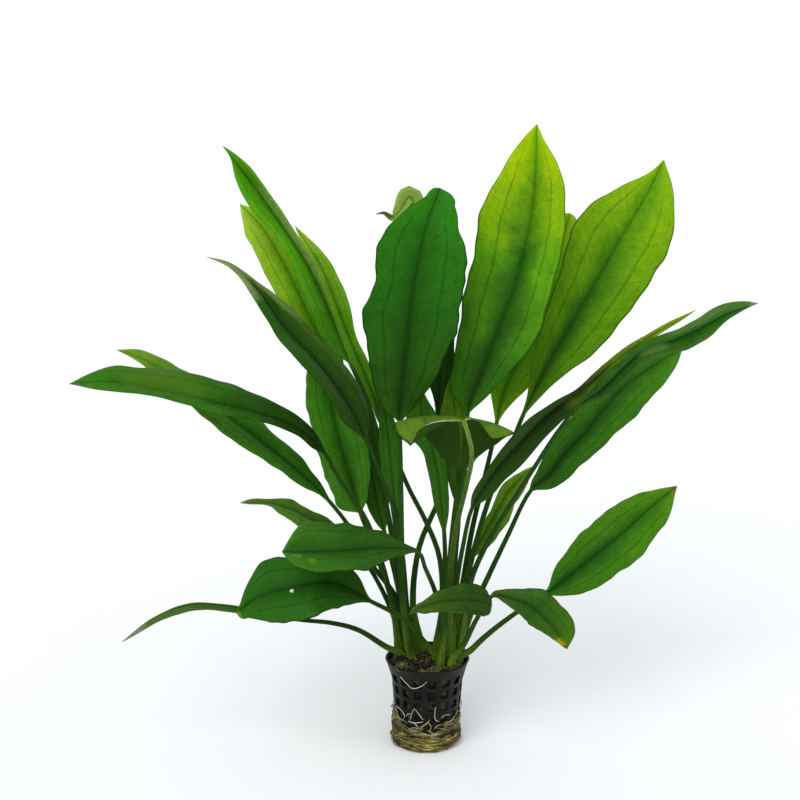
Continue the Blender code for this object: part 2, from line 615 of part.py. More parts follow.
def leaf_frames(leaf, stations):
    """For each station: centre, across, upper-side direction, the two half-widths, the stalk's
    radius and the share of the blade's length passed."""
    at, whole, blade_start = leaf_route(leaf)
    nudge = 0.5 * MM
    frames = []
    for length in stations(whole, blade_start):
        centre = at(length)
        tangent = unit(at(min(length + nudge, whole)) - at(max(length - nudge, 0)))
        toward = np.array(leaf["across"]) if "across" in leaf else np.cross(unit(centre - EYE), tangent)
        across = unit(toward - tangent * np.dot(toward, tangent))
        upper = np.cross(across, tangent)
        along = (length - blade_start) / (whole - blade_start)
        turn = math.radians(along_blade(leaf["turn_deg"], max(along, 0.0)))
        across, upper = (
            across * math.cos(turn) + upper * math.sin(turn),
            upper * math.cos(turn) - across * math.sin(turn),
        )
        climb = min(length / blade_start, 1.0)
        stalk = STALK_FOOT_RADIUS_mm + (STALK_TOP_RADIUS_mm - STALK_FOOT_RADIUS_mm) * climb**STALK_TAPER
        if along > 0:
            stalk *= 1 - along
        halves = np.array((stalk, stalk))
        if along > 0:
            halves = np.array([blade_half_mm(leaf, side, along, stalk) for side in ("left_mm", "right_mm")])
        frames.append((centre, across, upper, halves * MM, max(stalk, 0.0) * MM, max(along, 0.0)))
    return frames


def coarse_stations(whole, blade_start):
    stalk = [blade_start * step / STALK_STATIONS for step in range(STALK_STATIONS)]
    blade = whole - blade_start
    return stalk + [blade_start + blade * step / BLADE_STATIONS for step in range(BLADE_STATIONS + 1)]


def leaf_section(leaf, frame):
    """The ring of points round a leaf at one station: left edge, upper side, right edge, lower side."""
    centre, across, upper, halves, stalk, along = frame
    fold = math.radians(along_blade(leaf["fold_deg"], along)) * min(along / FULL_FOLD_AT, 1.0)
    sheet = BLADE_THICKNESS_mm / 2 * MM
    top = []
    bottom = []
    for share in SECTION_SHARES:
        half_width = halves[0] if share < 0 else halves[1]
        outward = share * half_width
        middle = centre + across * outward * math.cos(fold) + upper * abs(outward) * math.sin(fold)
        roundness = math.sqrt(max(1 - share**2, 0.0))
        blade_part = min(max((max(halves) - stalk) / (BLADE_STEP_mm * MM), 0.0), 1.0)
        rib = stalk * math.exp(-(outward / (RIB_SPREAD_mm * MM)) ** 2)
        thick = (1 - blade_part) * max(stalk, TIP_HALF_WIDTH_mm / 2 * MM) * roundness
        thick += blade_part * (sheet * roundness + rib)
        top.append(middle + upper * thick)
        bottom.append(middle - upper * thick)
    return top + bottom[-2:0:-1]


def leaf_mesh(name, leaf):
    rings = [leaf_section(leaf, frame) for frame in leaf_frames(leaf, coarse_stations)]
    count = len(rings[0])
    points = [point for ring in rings for point in ring]
    faces = []
    for level in range(len(rings) - 1):
        for corner in range(count):
            after = (corner + 1) % count
            here = level * count
            faces.append((here + corner, here + after, here + count + after, here + count + corner))
    faces.append(tuple(range(count)))
    faces.append(tuple(range((len(rings) - 1) * count, len(rings) * count)))
    mesh = mesh_from(points, faces, name)
    shape = bmesh.new()
    shape.from_mesh(mesh)
    bmesh.ops.recalc_face_normals(shape, faces=shape.faces)
    shape.to_mesh(mesh)
    shape.free()
    return mesh


def main():
    clear_scene()
    collection = bpy.data.collections.new("potted_amazon_sword")
    bpy.context.scene.collection.children.link(collection)
    build_pot(collection, make_material("pot_plastic", POT_BLACK, 0.5))
    build_root_mat(collection, make_material("roots", ROOT_OCHRE, 0.7))
    build_medium(collection, make_material("rockwool", ROCKWOOL_BROWN, 0.95))
    for name, centre in CROWNS_mm.items():
        build_crown(name, centre, collection, make_material(name, CROWN_GREEN, 0.6))
    for name, leaf in LEAVES.items():
        add_object(name, leaf_mesh(name, leaf), collection, make_material(name, GREEN_UPPER, 0.4))


main()
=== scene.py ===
"""The looks of a potted amazon sword plant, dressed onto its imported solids.

The frame is in metres with +Z up, the origin under the root mat and -Y towards the front.
Sizes are in millimetres where a name ends in _mm.
"""

import math
import random

import bmesh
import bpy
import numpy as np
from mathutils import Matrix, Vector, noise


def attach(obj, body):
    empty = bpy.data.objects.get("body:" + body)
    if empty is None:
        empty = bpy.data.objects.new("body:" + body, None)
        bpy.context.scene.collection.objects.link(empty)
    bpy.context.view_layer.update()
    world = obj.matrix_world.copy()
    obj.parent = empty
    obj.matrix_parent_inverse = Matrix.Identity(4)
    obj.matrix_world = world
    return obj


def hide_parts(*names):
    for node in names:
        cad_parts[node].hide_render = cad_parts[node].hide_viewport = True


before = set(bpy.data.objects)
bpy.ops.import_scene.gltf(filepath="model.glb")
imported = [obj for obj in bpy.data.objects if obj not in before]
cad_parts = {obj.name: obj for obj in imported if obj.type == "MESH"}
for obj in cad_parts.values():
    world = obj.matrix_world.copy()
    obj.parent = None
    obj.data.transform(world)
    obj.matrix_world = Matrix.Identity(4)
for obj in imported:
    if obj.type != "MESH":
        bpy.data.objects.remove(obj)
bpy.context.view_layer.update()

MM = 0.001

# Net pot
RIM_RADIUS_mm = 25.0
LIP_RADIUS_mm = 24.3
LIP_HEIGHT_mm = 51.5
RIM_HEIGHT_mm = 52.5
COLLAR_RADIUS_mm = 21.0
COLLAR_HEIGHT_mm = 40.0
FLOOR_RADIUS_mm = 18.3
FLOOR_HEIGHT_mm = 3.0
POT_WALL_mm = 1.2
WINDOW_COLUMNS = 16
WINDOW_SHARE = 0.56
WINDOW_HEIGHT_mm = 4.8
WINDOW_PITCH_mm = 7.5
WINDOW_ROWS = 5
TOP_WINDOW_mm = 41.4
FIRST_COLUMN_deg = -83.3
FLOOR_RINGS_mm = (6.0, 14.0)
ARC_STEPS = 5  # facets across one window or one rib

# Medium and roots
MEDIUM_TOP_mm = 48.0
MAT_RADIUS_mm = 19.7
STALK_FOOT_mm = 51.6  # where the leaf stalks stand, on top of the crowns

# The leaves are laid out on a front view, 800 units square, of an eye 1.2 m away that looks
# 15 degrees down. A leaf's routes are places in that view, and depth_mm adds how far behind
# (+) or before (-) the pot's axis each place lies.
EYE = np.array((-0.0162, -1.1065, 0.5071))
EYE_DOWN = math.radians(15)
VIEW_CENTRE = 400
VIEW_FOCAL = 2000
VIEW_SIDE = 800
ROUTE_STEPS = 24
STALK_RISE_mm = 4.0

# Leaf section, edge to edge, and stations along the leaf
HALF_SHARES = (0.0, 0.035, 0.08, 0.14, 0.22, 0.32, 0.42, 0.52, 0.62, 0.72, 0.82, 0.88, 0.94, 1.0)
SECTION_SHARES = np.array([-share for share in reversed(HALF_SHARES[1:])] + list(HALF_SHARES))
STALK_STATIONS = 22
BLADE_STATIONS = 80  # unless a leaf's looks ask for more
SHEET_mm = 0.36
TIP_HALF_WIDTH_mm = 0.2
WIDTH_SHARES = (0.04, 0.14, 0.28, 0.44, 0.6, 0.74, 0.86, 0.95)
FULL_FOLD_AT = 0.25
SHEATH_RADIUS_mm = 3.4  # a stalk is this wide at its foot
STALK_FOOT_RADIUS_mm = 1.95
STALK_TOP_RADIUS_mm = 1.15

# Leaf colours where a leaf's looks don't say: its underside, and its stalk at the foot and higher up
UNDERSIDE = "#6f8f42"
STALK_PALE = "#6d8c2a"
STALK_GREEN = "#2f5416"
LEAF_SHINE = 0.06

# Clods heaped on the medium and round the stalks' feet: (x, y, height of the middle, radius,
# and whether it is mossy)
CLODS_mm = (
    (-14.8, -13.2, 51.2, 4.3, True), (-8.5, -15.5, 50.2, 3.6, False), (-3.5, -18.0, 49.6, 3.0, True),
    (1.2, -16.6, 50.0, 2.6, True), (5.2, -14.6, 50.6, 3.0, True), (10.0, -16.4, 49.4, 2.6, False),
    (14.5, -14.4, 49.4, 2.6, True), (18.6, -9.0, 50.0, 2.5, True), (-19.3, -5.0, 50.0, 3.0, False),
    (-14.0, -7.5, 51.6, 4.0, False), (-8.5, -9.6, 52.4, 4.0, False), (-2.5, -11.0, 51.8, 4.0, False),
    (2.0, -7.0, 51.6, 4.4, False), (-2.0, -3.0, 52.0, 4.4, False), (7.5, -11.5, 50.8, 3.0, False),
    (-10.5, -3.8, 52.2, 4.0, False), (-16.5, 2.0, 50.5, 4.0, False), (13.0, -9.0, 50.6, 3.2, False),
    (-16.2, -6.8, 52.4, 4.4, False), (-20.0, -1.5, 50.4, 2.6, False), (17.6, -8.6, 51.4, 3.4, True),
    (0.0, 6.0, 50.5, 4.5, True), (-9.0, 9.0, 50.0, 4.5, False), (10.0, 9.0, 50.0, 4.5, True),
)
HEAP_TOP_mm = 53.0
LITTER_FIBRES = 190

# The matted roots: how high they reach in front, how much higher at the left and right, and
# where and by how much the mat bulges
MAT_EDGE_mm = 10.5
MAT_CLIMB_mm = 11.0
MAT_FULLNESS_mm = 0.9
MAT_FULLEST = math.radians(195)

# Roots on the front that show one by one: radius in mm, then places in the front view
FRONT_ROOTS = (
    (0.20, (400, 676.5), (406, 683), (412, 688.3), (420, 687), (427, 682)),
    (0.16, (410, 720), (412, 713), (414.3, 708.5)),
    (0.16, (414.3, 708.5), (418, 713), (423, 720)),
    (0.17, (435.5, 707), (434.8, 714), (435.5, 720), (439, 721.5)),
    (0.14, (441, 718), (444, 715.5), (450, 714.5)),
    (0.17, (396, 706), (401, 710), (404.5, 715.5), (404.5, 718)),
    (0.15, (406, 716), (408, 714), (411, 714)),
    (0.20, (408, 721), (414, 723), (423, 722)),
    (0.16, (413, 722), (417, 726), (418, 728)),
)
STOUT_ROOTS = (
    (0.42, (420.5, 731.5), (422, 727), (426, 724), (429.5, 720.5)),
    (0.30, (443.5, 727), (448, 722.5), (452, 720), (454.5, 716)),
    (0.28, (439, 736), (443, 731), (448, 729.5), (452.6, 727)),
    (0.30, (401, 730), (413, 731.5), (425, 734), (436, 738.5), (448, 738)),
    (0.34, (396, 737), (407, 741.5), (420, 745), (436, 744.5), (450, 739.5), (459, 732)),
    (0.22, (434, 729), (438, 725.5), (443, 724.5), (447, 721)),
    (0.26, (408, 746.5), (411, 741.5), (416, 738.5), (424, 741)),
    (0.20, (429, 733), (431, 727), (428, 722)),
    (0.34, (407, 742), (416, 746.5), (426, 749.5), (437, 747.5), (446, 745.5)),
    (0.24, (403, 724), (410, 729), (420, 731.5)),
    (0.20, (414, 733), (417, 728.5), (423, 726)),
    (0.20, (433, 735), (441, 733), (449, 734)),
)

# Stage: floor and lights. A lamp is (name, strength, softness in degrees, tilt from straight
# down in degrees, turn in degrees)
FLOOR_SIZE_m = 60.0
FLOOR_COLOUR = (0.85, 0.868, 0.88, 1.0)
SKY_COLOUR = (0.96, 0.98, 1.0, 1.0)
SKY_STRENGTH = 0.85
LAMPS = (
    ("key", 1.6, 40.0, 42.0, -25.0),
)

# For each leaf: root_mm is where its stalk stands on the crown (x, y). stalk and blade are
# routes in the front view, the blade's along its midrib from base to tip, and depth_mm has
# one value for each of their places. left_mm and right_mm are the blade's half-widths at
# WIDTH_SHARES of its length. turn_deg is its roll about the midrib, in even steps from base
# to tip: 0 faces the front, and below 0 the right or upper edge lies further back. fold_deg
# lifts both halves from the midrib. across is given where the blade lies towards the eye.
LEAVES = {
    "leaf_left_01": dict(
        root_mm=(-17.2, 1.6),
        stalk=((391, 600), (368, 524), (336, 474)),
        blade=((324, 452), (298, 428), (262, 414), (212, 402), (160, 390), (112, 382), (69, 384)),
        depth_mm=(-4, -9, -15, -18, -22, -26, -31, -36, -40, -43),
        left_mm=(4.5, 6, 8.5, 13, 10.5, 12, 13, 6),
        right_mm=(4, 7, 12, 17, 18, 15.5, 12, 5.5),
        turn_deg=(-42, -54, -60), fold_deg=10,
    ),
    "leaf_left_02": dict(
        root_mm=(-12.6, 7.2),
        stalk=((397, 600), (372, 565), (350, 528)),
        blade=((328, 500), (304, 476), (268, 447), (228, 417), (186, 390), (150, 363), (117, 350)),
        depth_mm=(3, 3, 4, 5, 4, 2, 2, 3, 4, 6),
        left_mm=(2, 9.5, 12, 20, 16, 12.5, 9.5, 3),
        right_mm=(4, 7.5, 10.5, 13, 13, 11.5, 8.5, 4.5),
        turn_deg=(-40, -53, -56), fold_deg=10,
    ),
    "leaf_left_03": dict(
        root_mm=(-12.4, 2.4),
        stalk=((402, 600), (398, 520), (384, 484)),
        blade=((366, 440), (348, 404), (316, 362), (283, 327), (258, 291), (233, 266), (207, 257)),
        depth_mm=(-3, -6, -12, -16, -21, -26, -30, -33, -36, -38),
        left_mm=(4, 14.5, 21.5, 25, 19, 15.5, 7, 3),
        right_mm=(8, 12.5, 14, 13.5, 13, 6.2, 1.2, 0.8),
        turn_deg=(-50, -56, -50), fold_deg=18,
    ),
    "leaf_left_04": dict(
        root_mm=(-7.8, 7.0),
        stalk=((405, 600), (392, 500), (370, 408)),
        blade=((350, 362), (337, 330), (324, 298), (307, 264), (289, 236), (269, 207), (223, 146)),
        depth_mm=(8, 9, 6, 2, 2, 3, 6, 9, 13, 20),
        left_mm=(5, 11, 15, 11.5, 10, 14, 9, 1),
        right_mm=(1.5, 2, 3.5, 6, 7, 7.5, 8, 4),
        turn_deg=(0, 0, 0), fold_deg=50,
    ),
    "leaf_left_05": dict(
        root_mm=(-10.4, 11.6),
        stalk=((401, 600), (385, 500), (360, 424)),
        blade=((342, 385), (326, 352), (310, 318), (295, 285), (278, 253), (261, 226), (240, 204)),
        depth_mm=(13, 18, 20, 20, 20, 20, 20, 22, 26, 30),
        left_mm=(4, 8, 10, 14, 14.5, 14, 12, 5),
        right_mm=(4, 8, 11, 14, 14, 12, 8, 3),
        turn_deg=(-10, -20, -20), fold_deg=14,
    ),
    "leaf_left_06": dict(
        root_mm=(-14.6, 11.4),
        stalk=((395, 610), (380, 565), (367, 530)),
        blade=((360, 512), (350, 475), (339, 437), (331, 400), (325, 370), (318, 340)),
        depth_mm=(11.5, 12, 11, 10, 9, 8, 7, 7, 8),
        left_mm=(9, 13, 15.5, 16, 16.5, 15.5, 12, 6.5),
        right_mm=(5, 9.5, 14, 16, 15, 13, 9, 4),
        turn_deg=(-10, -15, -20), fold_deg=12,
    ),
    "leaf_left_07": dict(
        root_mm=(-4.4, 11.8),
        stalk=((407, 622), (394, 570)),
        blade=((384, 530), (377, 500), (371, 470), (365, 440), (358, 410), (350, 380)),
        depth_mm=(17, 24, 28, 30, 32, 33, 34, 35),
        left_mm=(3, 6, 8, 8.5, 8, 7, 5, 2.5),
        right_mm=(3, 6, 8, 8.5, 8, 7, 5, 2.5),
        turn_deg=(0, 0, 0), fold_deg=12,
    ),
    "leaf_left_08": dict(
        root_mm=(-7.4, 2.0),
        stalk=((408, 620), (403, 560)),
        blade=((397, 515), (393, 485), (390, 455), (387, 425), (382, 394)),
        depth_mm=(3, 4, 3, 1, 0, -1, -3),
        left_mm=(2, 4, 5.5, 6, 6, 5, 3.5, 2),
        right_mm=(2, 4, 5.5, 6, 6, 5, 3.5, 2),
        turn_deg=(0, 0, 0), fold_deg=12,
    ),
    "leaf_left_09": dict(
        root_mm=(-10.0, -2.2),
        stalk=((405, 620), (402, 560), (401, 490), (400, 440)),
        blade=((399.5, 421), (404, 370), (408, 331), (412, 297), (418, 262), (427, 225), (440, 188)),
        depth_mm=(-8, -10, -11, -12, -12, -14, -16, -17, -17, -15, -8),
        left_mm=(7.5, 16.2, 20.6, 26.3, 21.8, 24, 14.5, 5.7),
        right_mm=(5.4, 14.2, 21.3, 27.5, 27.5, 26.8, 17.8, 11),
        turn_deg=(0, 0, 0), fold_deg=8, round_tip=True,
    ),
    "leaf_left_10": dict(
        root_mm=(-3.2, 3.8),
        stalk=((413, 605), (419, 548), (434, 511), (446, 482), (443, 448)),
        blade=((438, 417), (440, 375), (432, 330), (424, 285), (417, 240), (414, 212),
               (410, 197), (401, 210), (393, 218), (384, 213), (376, 214)),
        depth_mm=(6, 14, 19, 21, 22, 23, 24, 25, 26, 27, 28, 28, 25, 22, 20, 18),
        left_mm=(2, 7.5, 13, 16, 14, 8, 3, 1.5),
        right_mm=(2, 6.5, 12, 16, 12, 7.5, 6, 1.5),
        turn_deg=(0, 0, 0), fold_deg=12,
    ),
    "leaf_left_11": dict(
        root_mm=(-17.2, 6.6),
        stalk=((396, 625), (383, 592), (365, 562)),
        blade=((346, 543), (322, 526), (296, 511), (268, 503), (240, 503)),
        depth_mm=(4.5, 8, 13, 17, 20, 23, 26, 28),
        left_mm=(8, 14, 17, 16, 10, 4, 2.5, 1),
        right_mm=(6, 7, 7.5, 6, 7, 4, 3, 2),
        turn_deg=(-50, -52, -50), fold_deg=10,
    ),
    "leaf_left_12": dict(
        root_mm=(-15.2, -3.4),
        stalk=((386, 647), (358, 630), (331, 623)),
        blade=((300, 620), (262, 613), (226, 606), (190, 605), (155, 618), (122, 642)),
        depth_mm=(-9, -10, -11, -12, -12, -11, -10, -9, -8),
        left_mm=(1.5, 2.6, 4, 5.2, 5.4, 4.5, 3.2, 1.4),
        right_mm=(1, 1.2, 1.2, 1.2, 1.2, 1, 0.8, 0.5),
        turn_deg=(-30, -40, -30), fold_deg=10,
    ),
    "leaf_left_13": dict(
        root_mm=(-9.0, -7.2),
        stalk=((411, 640), (408, 622)),
        blade=((412, 612), (430, 604), (452, 600), (474, 600), (492, 605)),
        depth_mm=(-13, -16, -21, -28, -34, -38, -41),
        left_mm=(1.5, 3, 5, 8, 11, 12.5, 12, 7),
        right_mm=(6, 8.5, 11.5, 13.5, 14.5, 14.5, 14, 12),
        turn_deg=(-50, -50, -50), fold_deg=-6, round_tip=True,
    ),
    "leaf_right_01": dict(
        root_mm=(9.7, -1.8),
        stalk=((447, 610), (450, 560), (455, 510), (463, 455)),
        blade=((468, 412), (482, 372), (500, 325), (515, 285), (526, 243), (533, 205), (536, 165),
               (537, 124)),
        depth_mm=(-2, -1, 0, 1, 2, 3, 4, 5, 6, 7, 9, 12),
        left_mm=(11.5, 17, 22.5, 26.5, 28.5, 27, 17.5, 8),
        right_mm=(5, 12.5, 22, 23, 22, 20, 14, 4.5),
        turn_deg=(6, 14, 10), fold_deg=10,
    ),
    "leaf_right_02": dict(
        root_mm=(14.6, -1.4),
        stalk=((460, 610), (478, 535), (493, 488), (509, 450)),
        blade=((524, 413), (545, 370), (566, 333), (585, 300), (604, 268), (622, 236), (645, 198),
               (664, 160)),
        depth_mm=(4, 9, 13, 17, 21, 24, 28, 32, 36, 40, 44, 48),
        left_mm=(2, 7, 14.5, 19.5, 27, 25.5, 14.5, 3.5),
        right_mm=(3, 8.5, 18.5, 25, 26.5, 28, 18.5, 8.5),
        turn_deg=(0, -8, 0), fold_deg=8,
    ),
    "leaf_right_03": dict(
        root_mm=(13.6, 8.2),
        stalk=((460, 600), (472, 530), (484, 480), (492, 446)),
        blade=((497, 421), (504, 392), (520, 357), (536, 320), (550, 285), (561, 248), (570, 213)),
        depth_mm=(16, 24, 30, 35, 38, 42, 46, 50, 54, 59, 63),
        left_mm=(3, 9, 17, 20, 18, 15, 11, 6),
        right_mm=(3, 9.5, 16, 19, 19, 15, 11, 6),
        turn_deg=(0, 0, 0), fold_deg=10, round_tip=True,
    ),
    "leaf_right_04": dict(
        root_mm=(14.0, -6.6),
        stalk=((453, 620), (457, 580), (463, 545)),
        blade=((472, 508), (494, 473), (522, 440), (550, 412), (580, 390), (614, 361), (652, 334),
               (696, 310)),
        depth_mm=(-9, -11, -12, -12, -9, -4, 2, 7, 11, 15, 18),
        left_mm=(5, 8.5, 16, 12, 7, 9, 5, 2.5),
        right_mm=(7, 10, 12, 11.5, 7.5, 5, 3, 1.5),
        turn_deg=(-45, -60, -56), fold_deg=16,
    ),
    "leaf_right_05": dict(
        root_mm=(19.2, -1.8),
        stalk=((470, 583), (484, 549), (508, 508), (530, 474), (556, 434)),
        blade=((579, 405), (600, 391), (622, 369), (645, 349), (672, 340), (700, 328), (728, 313),
               (758, 303)),
        depth_mm=(-1, 0, 0, -2, -4, -6, -7, -8, -9, -10, -10, -10, -10),
        left_mm=(3, 8, 11, 9, 12, 14, 13, 6.5),
        right_mm=(3, 6, 6, 7, 10, 8.5, 4, 1),
        turn_deg=(-50, -52, -52), fold_deg=14,
    ),
    "leaf_right_06": dict(
        root_mm=(19.0, 3.2),
        stalk=((472, 610), (484, 585), (507, 537)),
        blade=((531, 490), (548, 476), (566, 453), (585, 433), (600, 414), (624, 387), (641, 374),
               (661, 361), (683, 347)),
        depth_mm=(8, 12, 18, 22, 23.5, 25, 26.5, 28, 30, 31, 32.5, 34),
        left_mm=(4.5, 10, 13.4, 15.9, 17, 15.3, 10.2, 4.5),
        right_mm=(4.5, 10, 12.5, 14.8, 17.8, 16, 11.2, 5.7),
        turn_deg=(-20, -30, -25), fold_deg=10,
    ),
    "leaf_right_07": dict(
        root_mm=(18.4, 8.2),
        stalk=((469, 612), (469, 580)),
        blade=((473, 556), (484, 534), (496, 512), (508, 492), (521, 478), (534, 466)),
        depth_mm=(14, 17, 19, 20, 21, 23, 25, 27),
        left_mm=(1.5, 2.5, 3.5, 4, 5, 6, 3.5, 1.5),
        right_mm=(3, 6, 8, 9, 8, 7, 5, 2),
        turn_deg=(0, -20, -20), fold_deg=10,
    ),
    "leaf_right_08": dict(
        root_mm=(18.2, -6.4),
        stalk=((469.5, 651), (480, 641), (494, 629), (517, 612)),
        blade=((545, 594), (568, 577), (592, 558), (618, 537), (646, 512), (677, 486)),
        depth_mm=(-8, -9, -9, -9, -8, -6, -3, 0, 2, 4),
        left_mm=(2.5, 10.5, 16.5, 20, 20, 16.5, 10, 4),
        right_mm=(4.5, 12, 16, 18, 17.5, 14.5, 10.5, 4),
        turn_deg=(-25, -30, -25), fold_deg=10,
    ),
    "leaf_right_09": dict(
        root_mm=(14.0, -10.9),
        stalk=((463, 645), (477, 618)),
        blade=((492, 596), (513, 599), (533, 608), (552, 626), (567, 649)),
        depth_mm=(-14, -19, -25, -30, -35, -39, -43),
        left_mm=(3, 5, 7.5, 13, 13, 13, 11, 5.5),
        right_mm=(2, 5, 9, 11.5, 11, 8.5, 4.5, 2),
        turn_deg=(-40, -34, -30), fold_deg=-8,
    ),
    "leaf_right_10": dict(
        root_mm=(7.4, -11.2),
        stalk=((444, 632), (435, 592), (425, 568)),
        blade=((418, 552), (386, 548), (352, 550), (318, 552), (282, 552)),
        depth_mm=(-15, -24, -31, -36, -42, -47, -50, -52),
        left_mm=(2, 6.5, 13.5, 22, 24, 21, 19, 11),
        right_mm=(2, 6, 15.5, 21.5, 24, 25.5, 23, 10),
        turn_deg=(-48, -55, -52), fold_deg=6,
    ),
    "leaf_right_11": dict(
        root_mm=(4.7, -6.3),
        stalk=((423, 641), (407, 622), (390, 611)),
        blade=((370, 601), (345, 586), (326, 582), (294, 587), (258, 597), (236, 613)),
        depth_mm=(-13, -23, -27, -30, -33, -35, -37, -38, -39),
        left_mm=(3, 10, 17, 22, 23, 20, 15, 7),
        right_mm=(3, 8.5, 13, 16, 20, 18.5, 8.5, 2.5),
        turn_deg=(-25, -28, -25), fold_deg=6, round_tip=True,
    ),
    "leaf_right_12": dict(
        root_mm=(5.0, 3.4),
        stalk=((442, 605), (439, 556), (425, 520), (409, 489), (396, 458)),
        blade=((386, 430), (374, 398), (362, 368), (349, 338), (336, 304), (320, 266), (295, 226)),
        depth_mm=(9, 12, 13, 14, 17, 22, 28, 34, 38, 40, 42, 45),
        left_mm=(3, 4, 6, 8, 9, 8, 5, 2),
        right_mm=(5.5, 6.5, 5, 5, 7.5, 7.5, 5, 2),
        turn_deg=(-30, -30, -30), fold_deg=14,
    ),
    "leaf_right_13": dict(
        root_mm=(9.4, -6.4),
        stalk=((450, 620), (450, 581), (456, 528), (467, 482), (472, 452)),
        blade=((464, 421), (463, 416), (462, 415), (461, 424), (461, 445), (461, 471)),
        depth_mm=(-13, -20, -30, -38, -46, -47, -36, -25, -16, -12, -11),
        left_mm=(16, 29, 36, 37, 22, 16, 11, 5),
        right_mm=(7, 13, 24, 31, 27, 18, 10, 5),
        turn_deg=(0, -6, -4, 0), fold_deg=(-60, -42, -12, -8, -18, -22), across=(1.0, 0.0, 0.0),
    ),
    "leaf_right_14": dict(
        root_mm=(5.0, -1.6),
        stalk=((443, 605), (445, 560)),
        blade=((444, 530), (440, 490), (434, 455), (426, 430), (421, 410), (421, 388)),
        depth_mm=(4, 5, 5, 5, 5, 5, 6, 6),
        left_mm=(2, 4, 5, 5.5, 6.5, 11, 8, 3),
        right_mm=(2, 4, 5, 6, 7, 9, 7, 3),
        turn_deg=(0, 0, 0), fold_deg=10,
    ),
    "leaf_right_15": dict(
        root_mm=(9.8, 3.4),
        stalk=((452, 600), (456, 550)),
        blade=((459, 510), (457, 475), (456, 445), (455, 410), (452, 376)),
        depth_mm=(8, 11, 12, 12, 12, 12, 12),
        left_mm=(2, 4, 6, 8, 9.5, 9, 6, 3),
        right_mm=(2, 4, 6, 7, 8, 7, 5, 2.5),
        turn_deg=(0, 0, 0), fold_deg=10,
    ),
}

